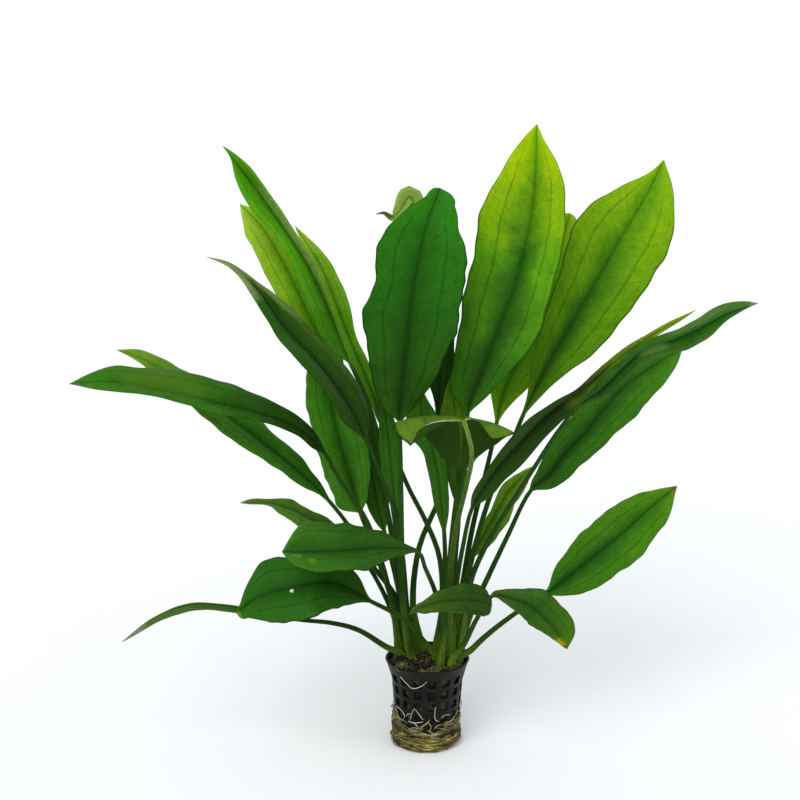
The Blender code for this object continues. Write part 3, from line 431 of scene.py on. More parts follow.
# Looks of a leaf. shades are its greens along the midrib from base to tip, edge those at the
# margins and right those of its right half where it differs: a painted sheen where that half
# catches the light. zones is where the three lie. under is its underside's colour, or three
# along the blade, and under_share how much of it shows. wave is how its margins ripple: (height
# in mm, ripples along the blade). bulge is how far each half arches up as a share of its width.
# stalk is its colours at the foot, higher up and at the top. marks are spots, stains and a
# painted highlight, each (colour, along, its reach, side -1 to 1, its reach, strength).
LOOKS = {
    "leaf_left_01": dict(
        shades=("#23400c", "#2f6a12", "#3a7a12"), edge=("#1f3a0c", "#387616", "#3f7c14"),
        wave=(0.5, 3), bulge=0.1, under=("#24480e", "#34680f", "#4a7420"), under_share=0.8,
        marks=(("#5f7f20", 0.66, 0.2, 0.1, 1.0, 0.4), ("#5c5c2c", 0.6, 0.3, 0.95, 0.15, 0.6)),
    ),
    "leaf_left_02": dict(
        shades=("#2f6612", "#40861c", "#649624"), edge=("#347012", "#4c961e", "#759a2a"),
        wave=(0.8, 4), bulge=0.1,
    ),
    "leaf_left_03": dict(
        shades=("#2c4c12", "#27510f", "#3f7014"), edge=("#2e5414", "#2f6410", "#8c9c5c"),
        zones=(0.05, 0.7, 0.88), wave=(0.5, 3), bulge=0.12,
        under=("#24460e", "#2a540e", "#97a465"), under_share=0.9,
        marks=(("#8c9c5c", 0.95, 0.16, 0.3, 1.3, 0.85), ("#7f9450", 0.72, 0.22, 0.85, 0.45, 0.8),
               ("#4f6a26", 0.45, 0.3, 0.85, 0.4, 0.5)),
    ),
    "leaf_left_04": dict(
        shades=("#3f7a14", "#529a18", "#57a016"), edge=("#448414", "#5eaa16", "#58a416"),
        # right: painted sheen on the right half, where that half catches the light
        right=("#66902a", "#86a850", "#559a14"), zones=(0.05, 0.6, 0.86), wave=(0.4, 3), bulge=0.1,
        under=("#6f8f3c", "#94ac68", "#4f9012"), under_share=0.85,
    ),
    "leaf_left_05": dict(
        shades=("#4a8414", "#74ae14", "#90bc22"), edge=("#5e9c14", "#8fc020", "#a8cc38"),
        wave=(0.7, 3),
    ),
    "leaf_left_06": dict(
        shades=("#386214", "#3c7a1a", "#468a20"), edge=("#4a861e", "#509a22", "#509822"),
        wave=(0.9, 4),
    ),
    "leaf_left_07": dict(shades=("#3a6d19", "#356216", "#2f5814"), wave=(0.4, 3)),
    "leaf_left_08": dict(shades=("#3f7a1c", "#3a7018", "#2f5c14"), wave=(0.3, 3)),
    "leaf_left_09": dict(
        shades=("#2a4c12", "#245a10", "#2a700f"), edge=("#2f5814", "#2a6c12", "#2e7f12"),
        wave=(1.0, 4), bulge=0.05,
    ),
    "leaf_left_10": dict(
        shades=("#31521b", "#2f5a18", "#86a83c"), edge=("#2c4a14", "#35661a", "#9ab858"),
        zones=(0.05, 0.5, 0.8), wave=(0.5, 3), stations=200, under="#9ab05c", under_share=0.8,
        marks=(("#5f5340", 1.0, 0.09, 0.0, 2.0, 0.85),),
    ),
    "leaf_left_11": dict(
        shades=("#3a5e18", "#507e1e", "#5f8226"), edge=("#426818", "#5c8e22", "#6e902e"),
        wave=(0.4, 3), marks=(("#7a8a5c", 1.0, 0.08, 0.0, 2.0, 0.6),),
    ),
    "leaf_left_12": dict(
        shades=("#34561a", "#456c24", "#5c7a36"), wave=(0.2, 3),
        marks=(("#8a9a80", 0.95, 0.14, 0.0, 2.0, 0.6),),
    ),
    "leaf_left_13": dict(
        shades=("#4f7420", "#3a5f1c", "#2c5014"), edge=("#5f7c2c", "#3f661c", "#2a4a12"),
        wave=(0.4, 3), bulge=0.1,
    ),
    "leaf_right_01": dict(
        # the yellow-green of the upper blade is partly the leaf's own and partly painted glow of light shining
        # through it
        shades=("#2f5a16", "#347214", "#78aa04"), edge=("#3a7616", "#62a412", "#a4c404"),
        zones=(0.15, 0.54, 0.88), wave=(0.9, 3), bulge=0.05,
    ),
    "leaf_right_02": dict(
        # the yellow-green of the upper blade is partly the leaf's own and partly painted glow of light shining
        # through it
        shades=("#3f6f16", "#3f7c12", "#67a00c"), edge=("#5a9014", "#6da30e", "#86b40c"),
        zones=(0.05, 0.45, 0.85), wave=(1.1, 3), bulge=0.05,
    ),
    "leaf_right_03": dict(
        # these bright greens are partly the leaf's own and partly painted glow of light shining through the blade
        shades=("#6a9e1e", "#5ea61c", "#8cb81c"), edge=("#8abe1c", "#7cb81c", "#acc82c"),
        wave=(0.6, 3),
    ),
    "leaf_right_04": dict(
        # the dark middle shade is partly the leaf's own green and partly painted shade, where the blade lies in
        # shadow
        shades=("#2a4a12", "#182e08", "#8aa81c"), edge=("#305414", "#2a4c0e", "#9ab824"),
        zones=(0.1, 0.52, 0.86), wave=(0.5, 3), bulge=0.12,
    ),
    "leaf_right_05": dict(
        shades=("#205010", "#205e0e", "#2a6e16"), edge=("#2c5c10", "#3f7418", "#4f8024"),
        zones=(0.15, 0.5, 0.92), wave=(0.5, 3), bulge=0.12,
        marks=(("#668941", 0.46, 0.1, 0.2, 0.5, 0.7), ("#668941", 0.7, 0.2, -0.8, 0.22, 0.7),
               ("#a8a89a", 1.0, 0.05, 0.0, 2.0, 0.6)),
    ),
    "leaf_right_06": dict(
        shades=("#265012", "#2c5f14", "#3c7418"), edge=("#356c16", "#3f7f18", "#4a8a1c"),
        wave=(0.5, 3), rungs=34.0,
    ),
    "leaf_right_07": dict(
        shades=("#4a7419", "#588018", "#6a941c"), edge=("#5a841c", "#6a9a20", "#7aa424"),
        wave=(0.7, 3),
    ),
    "leaf_right_08": dict(
        shades=("#245810", "#2f6812", "#3f7a12"), edge=("#3f7c14", "#468412", "#569014"),
        wave=(0.5, 3), rungs=30.0, marks=(("#7a5a24", 0.985, 0.035, -0.3, 1.6, 0.8),),
    ),
    "leaf_right_09": dict(
        shades=("#3f6420", "#2a5612", "#3f6c14"), edge=("#55742e", "#346414", "#4a7418"),
        wave=(0.4, 3), bulge=0.12,
        marks=(("#b09c1c", 0.94, 0.1, 0.5, 0.9, 0.8), ("#7a3c10", 0.985, 0.04, 0.3, 1.2, 0.85)),
    ),
    "leaf_right_10": dict(
        shades=("#3a5a1e", "#2c5a16", "#2f6416"), edge=("#365a1c", "#34691a", "#3f7a1c"),
        wave=(0.8, 3), bulge=0.12,
        marks=(("#6f9a22", 0.9, 0.05, -0.4, 0.2, 0.55), ("#6f9a22", 0.8, 0.04, -0.62, 0.14, 0.5)),
    ),
    "leaf_right_11": dict(
        shades=("#285214", "#2a6016", "#2a5f14"), edge=("#2c5c14", "#2f6c18", "#2f6a16"),
        wave=(0.7, 3), bulge=0.1, rungs=30.0,
        marks=(("#f4f8ea", 0.58, 0.018, -0.12, 0.075, 1.0), ("#8f8a20", 0.99, 0.025, -0.3, 0.7, 0.6)),
    ),
    "leaf_right_12": dict(
        shades=("#2f5412", "#62a01c", "#8ab82c"), edge=("#3a6a14", "#76b41e", "#9cc838"),
        wave=(0.5, 3),
    ),
    "leaf_right_13": dict(
        shades=("#5f8424", "#5c8420", "#527a1c"), edge=("#6f922c", "#557f20", "#4a781c"),
        # under: painted shade, for the far blade hanging in shadow under the arch
        wave=(0.3, 3), stations=160, under="#2c4a10", under_share=0.9,
        stalk=("#55732c", "#47651f", "#7f9850"),
        # the first mark is a painted highlight along the left margin near the base
        marks=(("#e4e6cc", 0.07, 0.13, -1.0, 0.1, 0.95), ("#c8d49a", 0.012, 0.02, 0.6, 0.4, 0.6)),
    ),
    "leaf_right_14": dict(shades=("#3d6e1f", "#417a1f", "#4a861f"), wave=(0.3, 3)),
    "leaf_right_15": dict(shades=("#3f7020", "#4f8a20", "#6f9a26"), wave=(0.3, 3)),
}


def linear(code, alpha=1.0):
    """Scene-linear colour of a web colour code."""
    channels = [int(code[index:index + 2], 16) / 255 for index in (1, 3, 5)]
    return tuple(c / 12.92 if c <= 0.04045 else ((c + 0.055) / 1.055) ** 2.4 for c in channels) + (alpha,)


class Graph:
    """A material's node tree, with one method for each kind of node that the looks need."""

    def __init__(self, name):
        self.material = bpy.data.materials.new(name)
        self.material.use_nodes = True
        self.tree = self.material.node_tree
        self.shader = self.tree.nodes["Principled BSDF"]
        self.output = self.tree.nodes["Material Output"]

    def link(self, value, socket):
        if isinstance(value, bpy.types.NodeSocket):
            self.tree.links.new(value, socket)
        else:
            socket.default_value = value

    def math(self, operation, first, second=0.0, third=0.0, clamp=False):
        node = self.tree.nodes.new("ShaderNodeMath")
        node.operation = operation
        node.use_clamp = clamp
        for value, socket in zip((first, second, third), node.inputs):
            self.link(value, socket)
        return node.outputs[0]

    def mix(self, factor, first, second, blend="MIX"):
        node = self.tree.nodes.new("ShaderNodeMix")
        node.data_type = "RGBA"
        node.blend_type = blend
        node.clamp_factor = True
        self.link(factor, node.inputs["Factor"])
        self.link(first, node.inputs[6])
        self.link(second, node.inputs[7])
        return node.outputs[2]

    def ramp(self, value, stops):
        node = self.tree.nodes.new("ShaderNodeValToRGB")
        elements = node.color_ramp.elements
        while len(elements) < len(stops):
            elements.new(0.5)
        for element, (position, colour) in zip(elements, stops):
            element.position = position
            element.color = colour
        self.link(value, node.inputs[0])
        return node.outputs[0]

    def step(self, value, low, high):
        """0 below low, 1 above high, smooth between."""
        node = self.tree.nodes.new("ShaderNodeMapRange")
        node.interpolation_type = "SMOOTHSTEP"
        self.link(value, node.inputs[0])
        self.link(low, node.inputs[1])
        self.link(high, node.inputs[2])
        return node.outputs[0]

    def uv(self):
        node = self.tree.nodes.new("ShaderNodeUVMap")
        node.uv_map = "UVMap"
        split = self.tree.nodes.new("ShaderNodeSeparateXYZ")
        self.link(node.outputs[0], split.inputs[0])
        return node.outputs[0], split.outputs[0], split.outputs[1]

    def place(self):
        node = self.tree.nodes.new("ShaderNodeTexCoord")
        return node.outputs["Object"]

    def stretch(self, vector, scale, shift=(0, 0, 0)):
        node = self.tree.nodes.new("ShaderNodeMapping")
        node.inputs["Location"].default_value = shift
        node.inputs["Scale"].default_value = scale
        self.link(vector, node.inputs["Vector"])
        return node.outputs[0]

    def noise(self, vector, scale, detail=3.0, roughness=0.55):
        node = self.tree.nodes.new("ShaderNodeTexNoise")
        self.link(vector, node.inputs["Vector"])
        node.inputs["Scale"].default_value = scale
        node.inputs["Detail"].default_value = detail
        node.inputs["Roughness"].default_value = roughness
        return node.outputs[0]

    def cells(self, vector, scale, feature="DISTANCE_TO_EDGE"):
        node = self.tree.nodes.new("ShaderNodeTexVoronoi")
        node.feature = feature
        self.link(vector, node.inputs["Vector"])
        node.inputs["Scale"].default_value = scale
        return node.outputs[0]

    def bump(self, height, distance_mm, strength=1.0):
        node = self.tree.nodes.new("ShaderNodeBump")
        node.inputs["Strength"].default_value = strength
        node.inputs["Distance"].default_value = distance_mm * MM
        self.link(height, node.inputs["Height"])
        self.link(node.outputs[0], self.shader.inputs["Normal"])
        return node.outputs[0]

    def finish(self, colour, roughness, specular=0.5):
        self.link(colour, self.shader.inputs["Base Color"])
        self.link(roughness, self.shader.inputs["Roughness"])
        self.shader.inputs["Specular IOR Level"].default_value = specular
        return self.material

    def let_light_through(self, colour, normal, share):
        """Mixes some light from behind into the surface."""
        glow = self.tree.nodes.new("ShaderNodeBsdfTranslucent")
        self.link(colour, glow.inputs["Color"])
        self.link(normal, glow.inputs["Normal"])
        mixer = self.tree.nodes.new("ShaderNodeMixShader")
        mixer.inputs[0].default_value = share
        self.tree.links.new(self.shader.outputs[0], mixer.inputs[1])
        self.tree.links.new(glow.outputs[0], mixer.inputs[2])
        self.tree.links.new(mixer.outputs[0], self.output.inputs["Surface"])


def band(graph, value, middle, reach):
    """1 where a value equals the middle, fading to 0 a reach away on both sides."""
    distance = graph.math("ABSOLUTE", graph.math("SUBTRACT", value, middle))
    return graph.math("SUBTRACT", 1.0, graph.step(distance, 0.0, reach))


def leaf_colour_zones(graph, look, along, out, right_side, drift):
    """The blade's greens: base to tip along the midrib, other shades at the margins and, where a
    leaf has them, a painted sheen on its right half."""
    inner = [linear(code) for code in look["shades"]]
    edge = [linear(code) for code in look.get("edge", look["shades"])]
    spots = look.get("zones", (0.05, 0.5, 0.92))
    place_on = graph.math("ADD", along, drift)
    green = graph.ramp(place_on, tuple(zip(spots, inner)))
    margin_green = graph.ramp(place_on, tuple(zip(spots, edge)))
    green = graph.mix(graph.step(graph.math("ADD", out, drift), 0.06, 0.62), green, margin_green)
    # a leaf's right shades are painted sheen, where its right half catches the light
    if "right" in look:
        other = graph.ramp(place_on, tuple(zip(spots, [linear(code) for code in look["right"]])))
        green = graph.mix(right_side, green, other)
    return green


def leaf_marks(graph, look, colour, place):
    """Spots, scorched ends, stains and a painted highlight: each is (colour, along, its reach, side -1
    to 1, its reach, strength) on the blade."""
    _, across, along = graph.uv()
    signed = graph.math("MULTIPLY_ADD", graph.math("FRACT", across), 2.0, -1.0)
    ragged = graph.math("MULTIPLY_ADD", graph.noise(place, 420.0, 4.0), 0.7, 0.65)
    for code, middle, reach, side, side_reach, strength in look.get("marks", ()):
        lengthways = graph.math("DIVIDE", graph.math("SUBTRACT", along, middle), reach)
        sideways = graph.math("DIVIDE", graph.math("SUBTRACT", signed, side), side_reach)
        away = graph.math(
            "SQRT",
            graph.math("ADD", graph.math("MULTIPLY", lengthways, lengthways),
                       graph.math("MULTIPLY", sideways, sideways)),
        )
        spot = graph.math("SUBTRACT", 1.0, graph.step(graph.math("MULTIPLY", away, ragged), 0.55, 1.0))
        colour = graph.mix(graph.math("MULTIPLY", spot, strength), colour, linear(code))
    return colour


def leaf_material(name, look, shift):
    """Blade and stalk: shaded from base to tip, with midrib, long veins and a net of cross veins."""
    graph = Graph(name)
    _, across, along = graph.uv()
    place = graph.stretch(graph.place(), (1, 1, 1), (shift, shift * 0.7, 0))
    lower_side = graph.math("GREATER_THAN", across, 1.5)
    edge_to_edge = graph.math("SUBTRACT", across, graph.math("MULTIPLY", lower_side, 2.0))
    right_side = graph.step(edge_to_edge, 0.49, 0.51)
    out = graph.math("ABSOLUTE", graph.math("MULTIPLY_ADD", edge_to_edge, 2.0, -1.0))
    broad = graph.noise(place, 55.0, 2.0)
    patches = graph.noise(place, 190.0, 4.0, 0.6)
    fine = graph.noise(place, 1100.0, 3.0, 0.6)
    drift = graph.math("MULTIPLY_ADD", broad, 0.44, -0.22)
    green = leaf_colour_zones(graph, look, along, out, right_side, drift)
    # Uneven greens: broad patches and the fine grain of the tissue
    darker = graph.mix(1.0, green, (0.66, 0.76, 0.60, 1.0), blend="MULTIPLY")
    lighter = graph.mix(1.0, green, (1.26, 1.17, 1.05, 1.0), blend="MULTIPLY")
    green = graph.mix(graph.math("MULTIPLY", graph.step(patches, 0.5, 0.72), 0.6), green, lighter)
    green = graph.mix(graph.math("MULTIPLY", graph.step(patches, 0.5, 0.3), 0.55), green, darker)
    green = graph.mix(graph.math("MULTIPLY", graph.step(fine, 0.55, 0.8), 0.3), green, lighter)
    green = graph.mix(graph.math("MULTIPLY", graph.step(fine, 0.45, 0.22), 0.3), green, darker)
    # Veins: out is 0 on the midrib and 1 at the margin
    taper = graph.math("SUBTRACT", 1.0, along, clamp=True)
    rib_width = graph.math("MULTIPLY_ADD", graph.math("POWER", taper, 1.6), 0.15, 0.035)
    rib = graph.math("SUBTRACT", 1.0, graph.step(out, graph.math("MULTIPLY", rib_width, 0.15), rib_width))
    rib_shadow = graph.math("SUBTRACT", 1.0, graph.step(out, 0.0, graph.math("MULTIPLY", rib_width, 2.6)))
    wander = graph.math("MULTIPLY_ADD", patches, 0.05, -0.025)
    shown = graph.math(
        "MULTIPLY", graph.step(along, 0.0, 0.12), graph.math("SUBTRACT", 1.0, graph.step(along, 0.8, 1.0))
    )
    wandering = graph.math("ADD", out, wander)
    long_vein = graph.math("MULTIPLY", band(graph, wandering, 0.56, 0.045), shown)
    outer_vein = graph.math("MULTIPLY", band(graph, wandering, 0.84, 0.035), shown)
    veins = graph.math("MAXIMUM", long_vein, graph.math("MULTIPLY", outer_vein, 0.35))
    ladder = graph.math("MULTIPLY_ADD", along, look.get("rungs", 26.0), graph.math("MULTIPLY", patches, 1.6))
    ladder = graph.math("MULTIPLY_ADD", out, -3.4, ladder)
    rung = band(graph, graph.math("FRACT", ladder), 0.5, 0.1)
    rung = graph.math("MULTIPLY", rung, graph.math("MULTIPLY", shown, graph.step(fine, 0.36, 0.6)))
    net = graph.cells(place, 480.0)
    net = graph.math("MULTIPLY", graph.math("SUBTRACT", 1.0, graph.step(net, 0.0, 0.12)), shown)
    margin = graph.math("MULTIPLY", graph.step(out, 0.95, 1.0), graph.step(along, 0.0, 0.05))
    dark = graph.mix(1.0, green, (0.30, 0.46, 0.30, 1.0), blend="MULTIPLY")
    deep = graph.mix(1.0, green, (0.52, 0.66, 0.50, 1.0), blend="MULTIPLY")
    upper = graph.mix(graph.math("MULTIPLY", rib_shadow, 0.45), green, deep)
    upper = graph.mix(graph.math("MULTIPLY", rib, 0.62), upper, dark)
    upper = graph.mix(graph.math("MULTIPLY", veins, 0.5), upper, dark)
    upper = graph.mix(graph.math("MULTIPLY", rung, 0.26), upper, dark)
    upper = graph.mix(graph.math("MULTIPLY", net, 0.13), upper, dark)
    upper = graph.mix(graph.math("MULTIPLY", margin, 0.55), upper, dark)
    upper = leaf_marks(graph, look, upper, place)
    under = look.get("under", UNDERSIDE)
    if isinstance(under, tuple):
        spots = look.get("zones", (0.05, 0.5, 0.92))
        beneath = graph.ramp(along, tuple(zip(spots, [linear(code) for code in under])))
    else:
        beneath = linear(under)
    pale = graph.mix(look.get("under_share", 0.55), green, beneath)
    lower = graph.mix(graph.math("MULTIPLY", veins, 0.35), pale, dark)
    lower = graph.mix(graph.math("MULTIPLY", rung, 0.15), lower, dark)
    lower = graph.mix(graph.math("MULTIPLY", rib, 0.5), lower, lighter)
    colour = graph.mix(lower_side, upper, lower)
    # The stalk: pale where it leaves the crown, ribbed along its length
    foot, stem, top = (linear(code) for code in look.get("stalk", (STALK_PALE, STALK_GREEN, STALK_GREEN)))
    stalk = graph.ramp(graph.math("ADD", along, 1.0), ((0.0, foot), (0.32, stem), (0.7, stem), (1.0, top)))
    ribs = graph.noise(graph.stretch(place, (1, 1, 0.06)), 1500.0, 2.0)
    stalk_dark = graph.mix(1.0, stalk, (0.42, 0.52, 0.4, 1.0), blend="MULTIPLY")
    stalk_light = graph.mix(1.0, stalk, (1.5, 1.35, 1.2, 1.0), blend="MULTIPLY")
    stalk = graph.mix(graph.math("MULTIPLY", graph.step(ribs, 0.5, 0.32), 0.8), stalk, stalk_dark)
    stalk = graph.mix(graph.math("MULTIPLY", graph.step(ribs, 0.55, 0.72), 0.6), stalk, stalk_light)
    stalk = graph.mix(graph.math("MULTIPLY", graph.step(out, 0.55, 1.0), 0.6), stalk, stalk_dark)
    colour = graph.mix(graph.step(along, -0.05, 0.03), stalk, colour)
    height = graph.math("MULTIPLY_ADD", rib_shadow, -1.1, graph.math("MULTIPLY", fine, 0.3))
    height = graph.math("MULTIPLY_ADD", veins, -0.9, height)
    height = graph.math("MULTIPLY_ADD", rung, -0.5, height)
    height = graph.math("MULTIPLY_ADD", net, -0.3, height)
    height = graph.math("MULTIPLY_ADD", patches, 1.6, height)
    normal = graph.bump(height, 0.4, 0.8)
    roughness = graph.math("MULTIPLY_ADD", lower_side, 0.12, graph.math("MULTIPLY_ADD", patches, 0.2, 0.33))
    graph.finish(colour, roughness, LEAF_SHINE)
    graph.let_light_through(graph.mix(1.0, colour, (1.25, 1.3, 0.5, 1.0), blend="MULTIPLY"), normal, 0.25)
    return graph.material


def pot_material():
    """Near-black moulded plastic with scuffs, dust and an olive film of algae."""
    graph = Graph("pot_plastic")
    place = graph.place()
    broad = graph.noise(place, 150.0, 4.0)
    fine = graph.noise(place, 1700.0, 3.0)
    streaks = graph.noise(graph.stretch(place, (1, 1, 0.15)), 700.0, 2.0)
    colour = graph.ramp(broad, ((0.3, linear("#030203")), (0.55, linear("#0a0908")), (0.8, linear("#191714"))))
    film = graph.math("MULTIPLY", graph.step(broad, 0.55, 0.35), graph.step(streaks, 0.45, 0.7))
    colour = graph.mix(graph.math("MULTIPLY", film, 0.6), colour, linear("#1c200a"))
    dust = graph.math("MULTIPLY", graph.step(streaks, 0.58, 0.8), 0.35)
    colour = graph.mix(dust, colour, linear("#3a362a"))
    colour = graph.mix(graph.math("MULTIPLY", graph.step(fine, 0.66, 0.8), 0.4), colour, linear("#6f6c60"))
    height = graph.math("MULTIPLY_ADD", broad, 0.6, graph.math("MULTIPLY", fine, 0.5))
    graph.bump(height, 0.2, 0.7)
    return graph.finish(colour, graph.math("MULTIPLY_ADD", broad, 0.35, 0.3), 0.16)


def rockwool_material():
    """Wet brown mineral fibre with olive and yellow-green moss, near-black in the hollows of its
    bump: painted shade. The moss grows mostly on the right and the left; the middle is dark and wet."""
    graph = Graph("rockwool")
    place = graph.place()
    split = graph.tree.nodes.new("ShaderNodeSeparateXYZ")
    graph.link(place, split.inputs[0])
    to_right = graph.math("MULTIPLY", split.outputs[0], 1 / (RIM_RADIUS_mm * MM))
    broad = graph.noise(place, 150.0, 3.0, 0.6)
    lumps = graph.noise(place, 380.0, 5.0, 0.65)
    fibres = graph.noise(graph.stretch(place, (1, 0.25, 0.4)), 2400.0, 3.0)
    # near-black where the lumps are lowest: painted shade in the hollows
    colour = graph.ramp(
        lumps, ((0.36, linear("#040302")), (0.5, linear("#0f0b05")), (0.62, linear("#241c0b")),
                (0.8, linear("#5a4c26")))
    )
    mossy = graph.math("ADD", broad, graph.math("MULTIPLY", graph.step(to_right, 0.1, 0.5), 0.2))
    mossy = graph.math("ADD", mossy, graph.math("MULTIPLY", graph.step(to_right, -0.4, -0.75), 0.1))
    moss = graph.math("MULTIPLY", graph.step(mossy, 0.52, 0.64), 0.9)
    green = graph.ramp(lumps, ((0.35, linear("#171a06")), (0.55, linear("#4c5018")), (0.75, linear("#98943c"))))
    colour = graph.mix(moss, colour, green)
    colour = graph.mix(graph.math("MULTIPLY", graph.step(fibres, 0.62, 0.76), 0.4), colour, linear("#8c8050"))
    height = graph.math("MULTIPLY_ADD", fibres, 0.6, lumps)
    graph.bump(height, 1.4, 1.0)
    return graph.finish(colour, graph.math("MULTIPLY_ADD", lumps, -0.5, 0.85), 0.3)


def clod_material(name, dark, middle, light):
    """A clod of moss or wet fibre, with pale fibre ends and pits darkened by painted shade."""
    graph = Graph(name)
    place = graph.place()
    lumps = graph.noise(place, 520.0, 5.0, 0.7)
    fine = graph.noise(place, 2600.0, 3.0)
    # darkest where the lumps are lowest: painted shade in the pits
    colour = graph.ramp(lumps, ((0.36, linear(dark)), (0.52, linear(middle)), (0.7, linear(light))))
    colour = graph.mix(graph.math("MULTIPLY", graph.step(fine, 0.6, 0.74), 0.5), colour, linear(light))
    graph.bump(graph.math("MULTIPLY_ADD", fine, 0.4, lumps), 1.2, 1.0)
    return graph.finish(colour, graph.math("MULTIPLY_ADD", lumps, -0.5, 0.8), 0.35)


def root_material(name, dark, middle, light):
    """Roots: fibrous along their length, browner where they are old."""
    graph = Graph(name)
    place = graph.place()
    broad = graph.noise(place, 160.0, 4.0, 0.6)
    fine = graph.noise(place, 1800.0, 3.0)
    colour = graph.ramp(broad, ((0.32, linear(dark)), (0.52, linear(middle)), (0.75, linear(light))))
    colour = graph.mix(graph.math("MULTIPLY", graph.step(fine, 0.55, 0.8), 0.35), colour, linear(light))
    graph.bump(graph.math("MULTIPLY_ADD", broad, 0.5, fine), 0.25, 0.8)
    return graph.finish(colour, 0.6, 0.35)


def floor_material():
    graph = Graph("floor")
    return graph.finish(FLOOR_COLOUR, 1.0, 0.0)


def new_object(name, mesh, material, smooth=True):
    thing = bpy.data.objects.new(name, mesh)
    bpy.context.scene.collection.objects.link(thing)
    mesh.materials.append(material)
    if smooth:
        mesh.shade_smooth()
    return thing


def dress(thing, slot, *nodes):
    """The piece moves with the one body and stands for the solids it covers."""
    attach(thing, "root")
    if nodes:
        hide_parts(*nodes)


def mesh_of(name, points, faces):
    mesh = bpy.data.meshes.new(name)
    mesh.from_pydata([tuple(point) for point in points], [], faces)
    mesh.validate()
    return mesh


def closed_mesh(name, points, faces):
    """A mesh whose coinciding points are joined and whose faces all look outwards."""
    mesh = mesh_of(name, points, faces)
    shape = bmesh.new()
    shape.from_mesh(mesh)
    bmesh.ops.remove_doubles(shape, verts=shape.verts, dist=0.01 * MM)
    bmesh.ops.recalc_face_normals(shape, faces=shape.faces)
    shape.to_mesh(mesh)
    shape.free()
    return mesh


def place(across, down, depth):
    """The point at a place of the front view, depth metres behind the pot's axis."""
    slope = (VIEW_CENTRE - down) / VIEW_FOCAL
    forward = depth - EYE[1]
    level = forward * (slope * math.cos(EYE_DOWN) - math.sin(EYE_DOWN))
    drop = level / (math.cos(EYE_DOWN) + slope * math.sin(EYE_DOWN))
    distance = forward * math.cos(EYE_DOWN) - drop * math.sin(EYE_DOWN)
    side = EYE[0] + distance * (across - VIEW_CENTRE) / VIEW_FOCAL
    return np.array((side, depth, EYE[2] + drop))


def unit(vector):
    return vector / np.linalg.norm(vector)


def smooth_route(points):
    """A function of arc length, in metres, along a smooth curve through the points, and the
    arc length at each point."""
    points = np.asarray(points)
    knots = np.concatenate(([0.0], np.cumsum(np.linalg.norm(np.diff(points, axis=0), axis=1) ** 0.5)))
    slopes = np.gradient(points, knots, axis=0)
    curve = [points[0]]
    marks = [0]
    for index in range(len(points) - 1):
        span = knots[index + 1] - knots[index]
        for step in range(1, ROUTE_STEPS + 1):
            t = step / ROUTE_STEPS
            curve.append(
                (2 * t**3 - 3 * t**2 + 1) * points[index]
                + (t**3 - 2 * t**2 + t) * span * slopes[index]
                + (3 * t**2 - 2 * t**3) * points[index + 1]
                + (t**3 - t**2) * span * slopes[index + 1]
            )
        marks.append(len(curve) - 1)
    curve = np.array(curve)
    lengths = np.concatenate(([0.0], np.cumsum(np.linalg.norm(np.diff(curve, axis=0), axis=1))))

    def at(length):
        return np.array([np.interp(length, lengths, curve[:, axis]) for axis in range(3)])

    return at, lengths[marks]


def leaf_route(leaf):
    """The leaf's centre line, its whole length and the length at which the blade starts."""
    foot = np.array((*leaf["root_mm"], STALK_FOOT_mm)) * MM
    places = leaf["stalk"] + leaf["blade"]
    points = [foot, foot + np.array((0, 0, STALK_RISE_mm * MM))]
    points += [place(*spot, depth * MM) for spot, depth in zip(places, leaf["depth_mm"], strict=True)]
    at, marks = smooth_route(points)
    return at, marks[-1], marks[2 + len(leaf["stalk"])]


def smooth_value(spots, values, spot):
    """The value at a spot, on a smooth curve through the values at the given spots."""
    slopes = np.gradient(values, spots)
    index = min(max(int(np.searchsorted(spots, spot)) - 1, 0), len(spots) - 2)
    span = spots[index + 1] - spots[index]
    t = min(max((spot - spots[index]) / span, 0.0), 1.0)
    return (
        (2 * t**3 - 3 * t**2 + 1) * values[index]
        + (t**3 - 2 * t**2 + t) * span * slopes[index]
        + (3 * t**2 - 2 * t**3) * values[index + 1]
        + (t**3 - t**2) * span * slopes[index + 1]
    )


def blade_half_mm(leaf, side, along, stalk):
    """Half-width of the blade on one side at a share of its length."""
    widths = leaf[side]
    last = WIDTH_SHARES[-1]
    if along > last and leaf.get("round_tip"):
        rounding = math.sqrt(max(1 - ((along - last) / (1 - last)) ** 2, 0.0))
        return max(widths[-1] * rounding, TIP_HALF_WIDTH_mm)
    half = smooth_value((0.0, *WIDTH_SHARES, 1.0), (stalk, *widths, TIP_HALF_WIDTH_mm), along)
    return max(half, stalk, TIP_HALF_WIDTH_mm)


def along_blade(values, along):
    """The value at a share of the blade's length, from one value or from evenly spread ones."""
    if isinstance(values, (int, float)):
        return values
    return float(np.interp(along, np.linspace(0, 1, len(values)), values))


def leaf_stations(whole, blade_start, count):
    stalk = list(np.linspace(0, blade_start, STALK_STATIONS, endpoint=False))
    blade = (1 - np.cos(np.linspace(0, math.pi, count))) / 2
    even = np.linspace(0, 1, count)
    return stalk + list(blade_start + (whole - blade_start) * (blade + even) / 2)


def stalk_radius_mm(climb):
    """Radius of a stalk at a share of its length: a broad sheath at the foot, then slim."""
    slim = STALK_FOOT_RADIUS_mm + (STALK_TOP_RADIUS_mm - STALK_FOOT_RADIUS_mm) * climb**0.7
    return slim + (SHEATH_RADIUS_mm - STALK_FOOT_RADIUS_mm) * math.exp(-climb / 0.07)


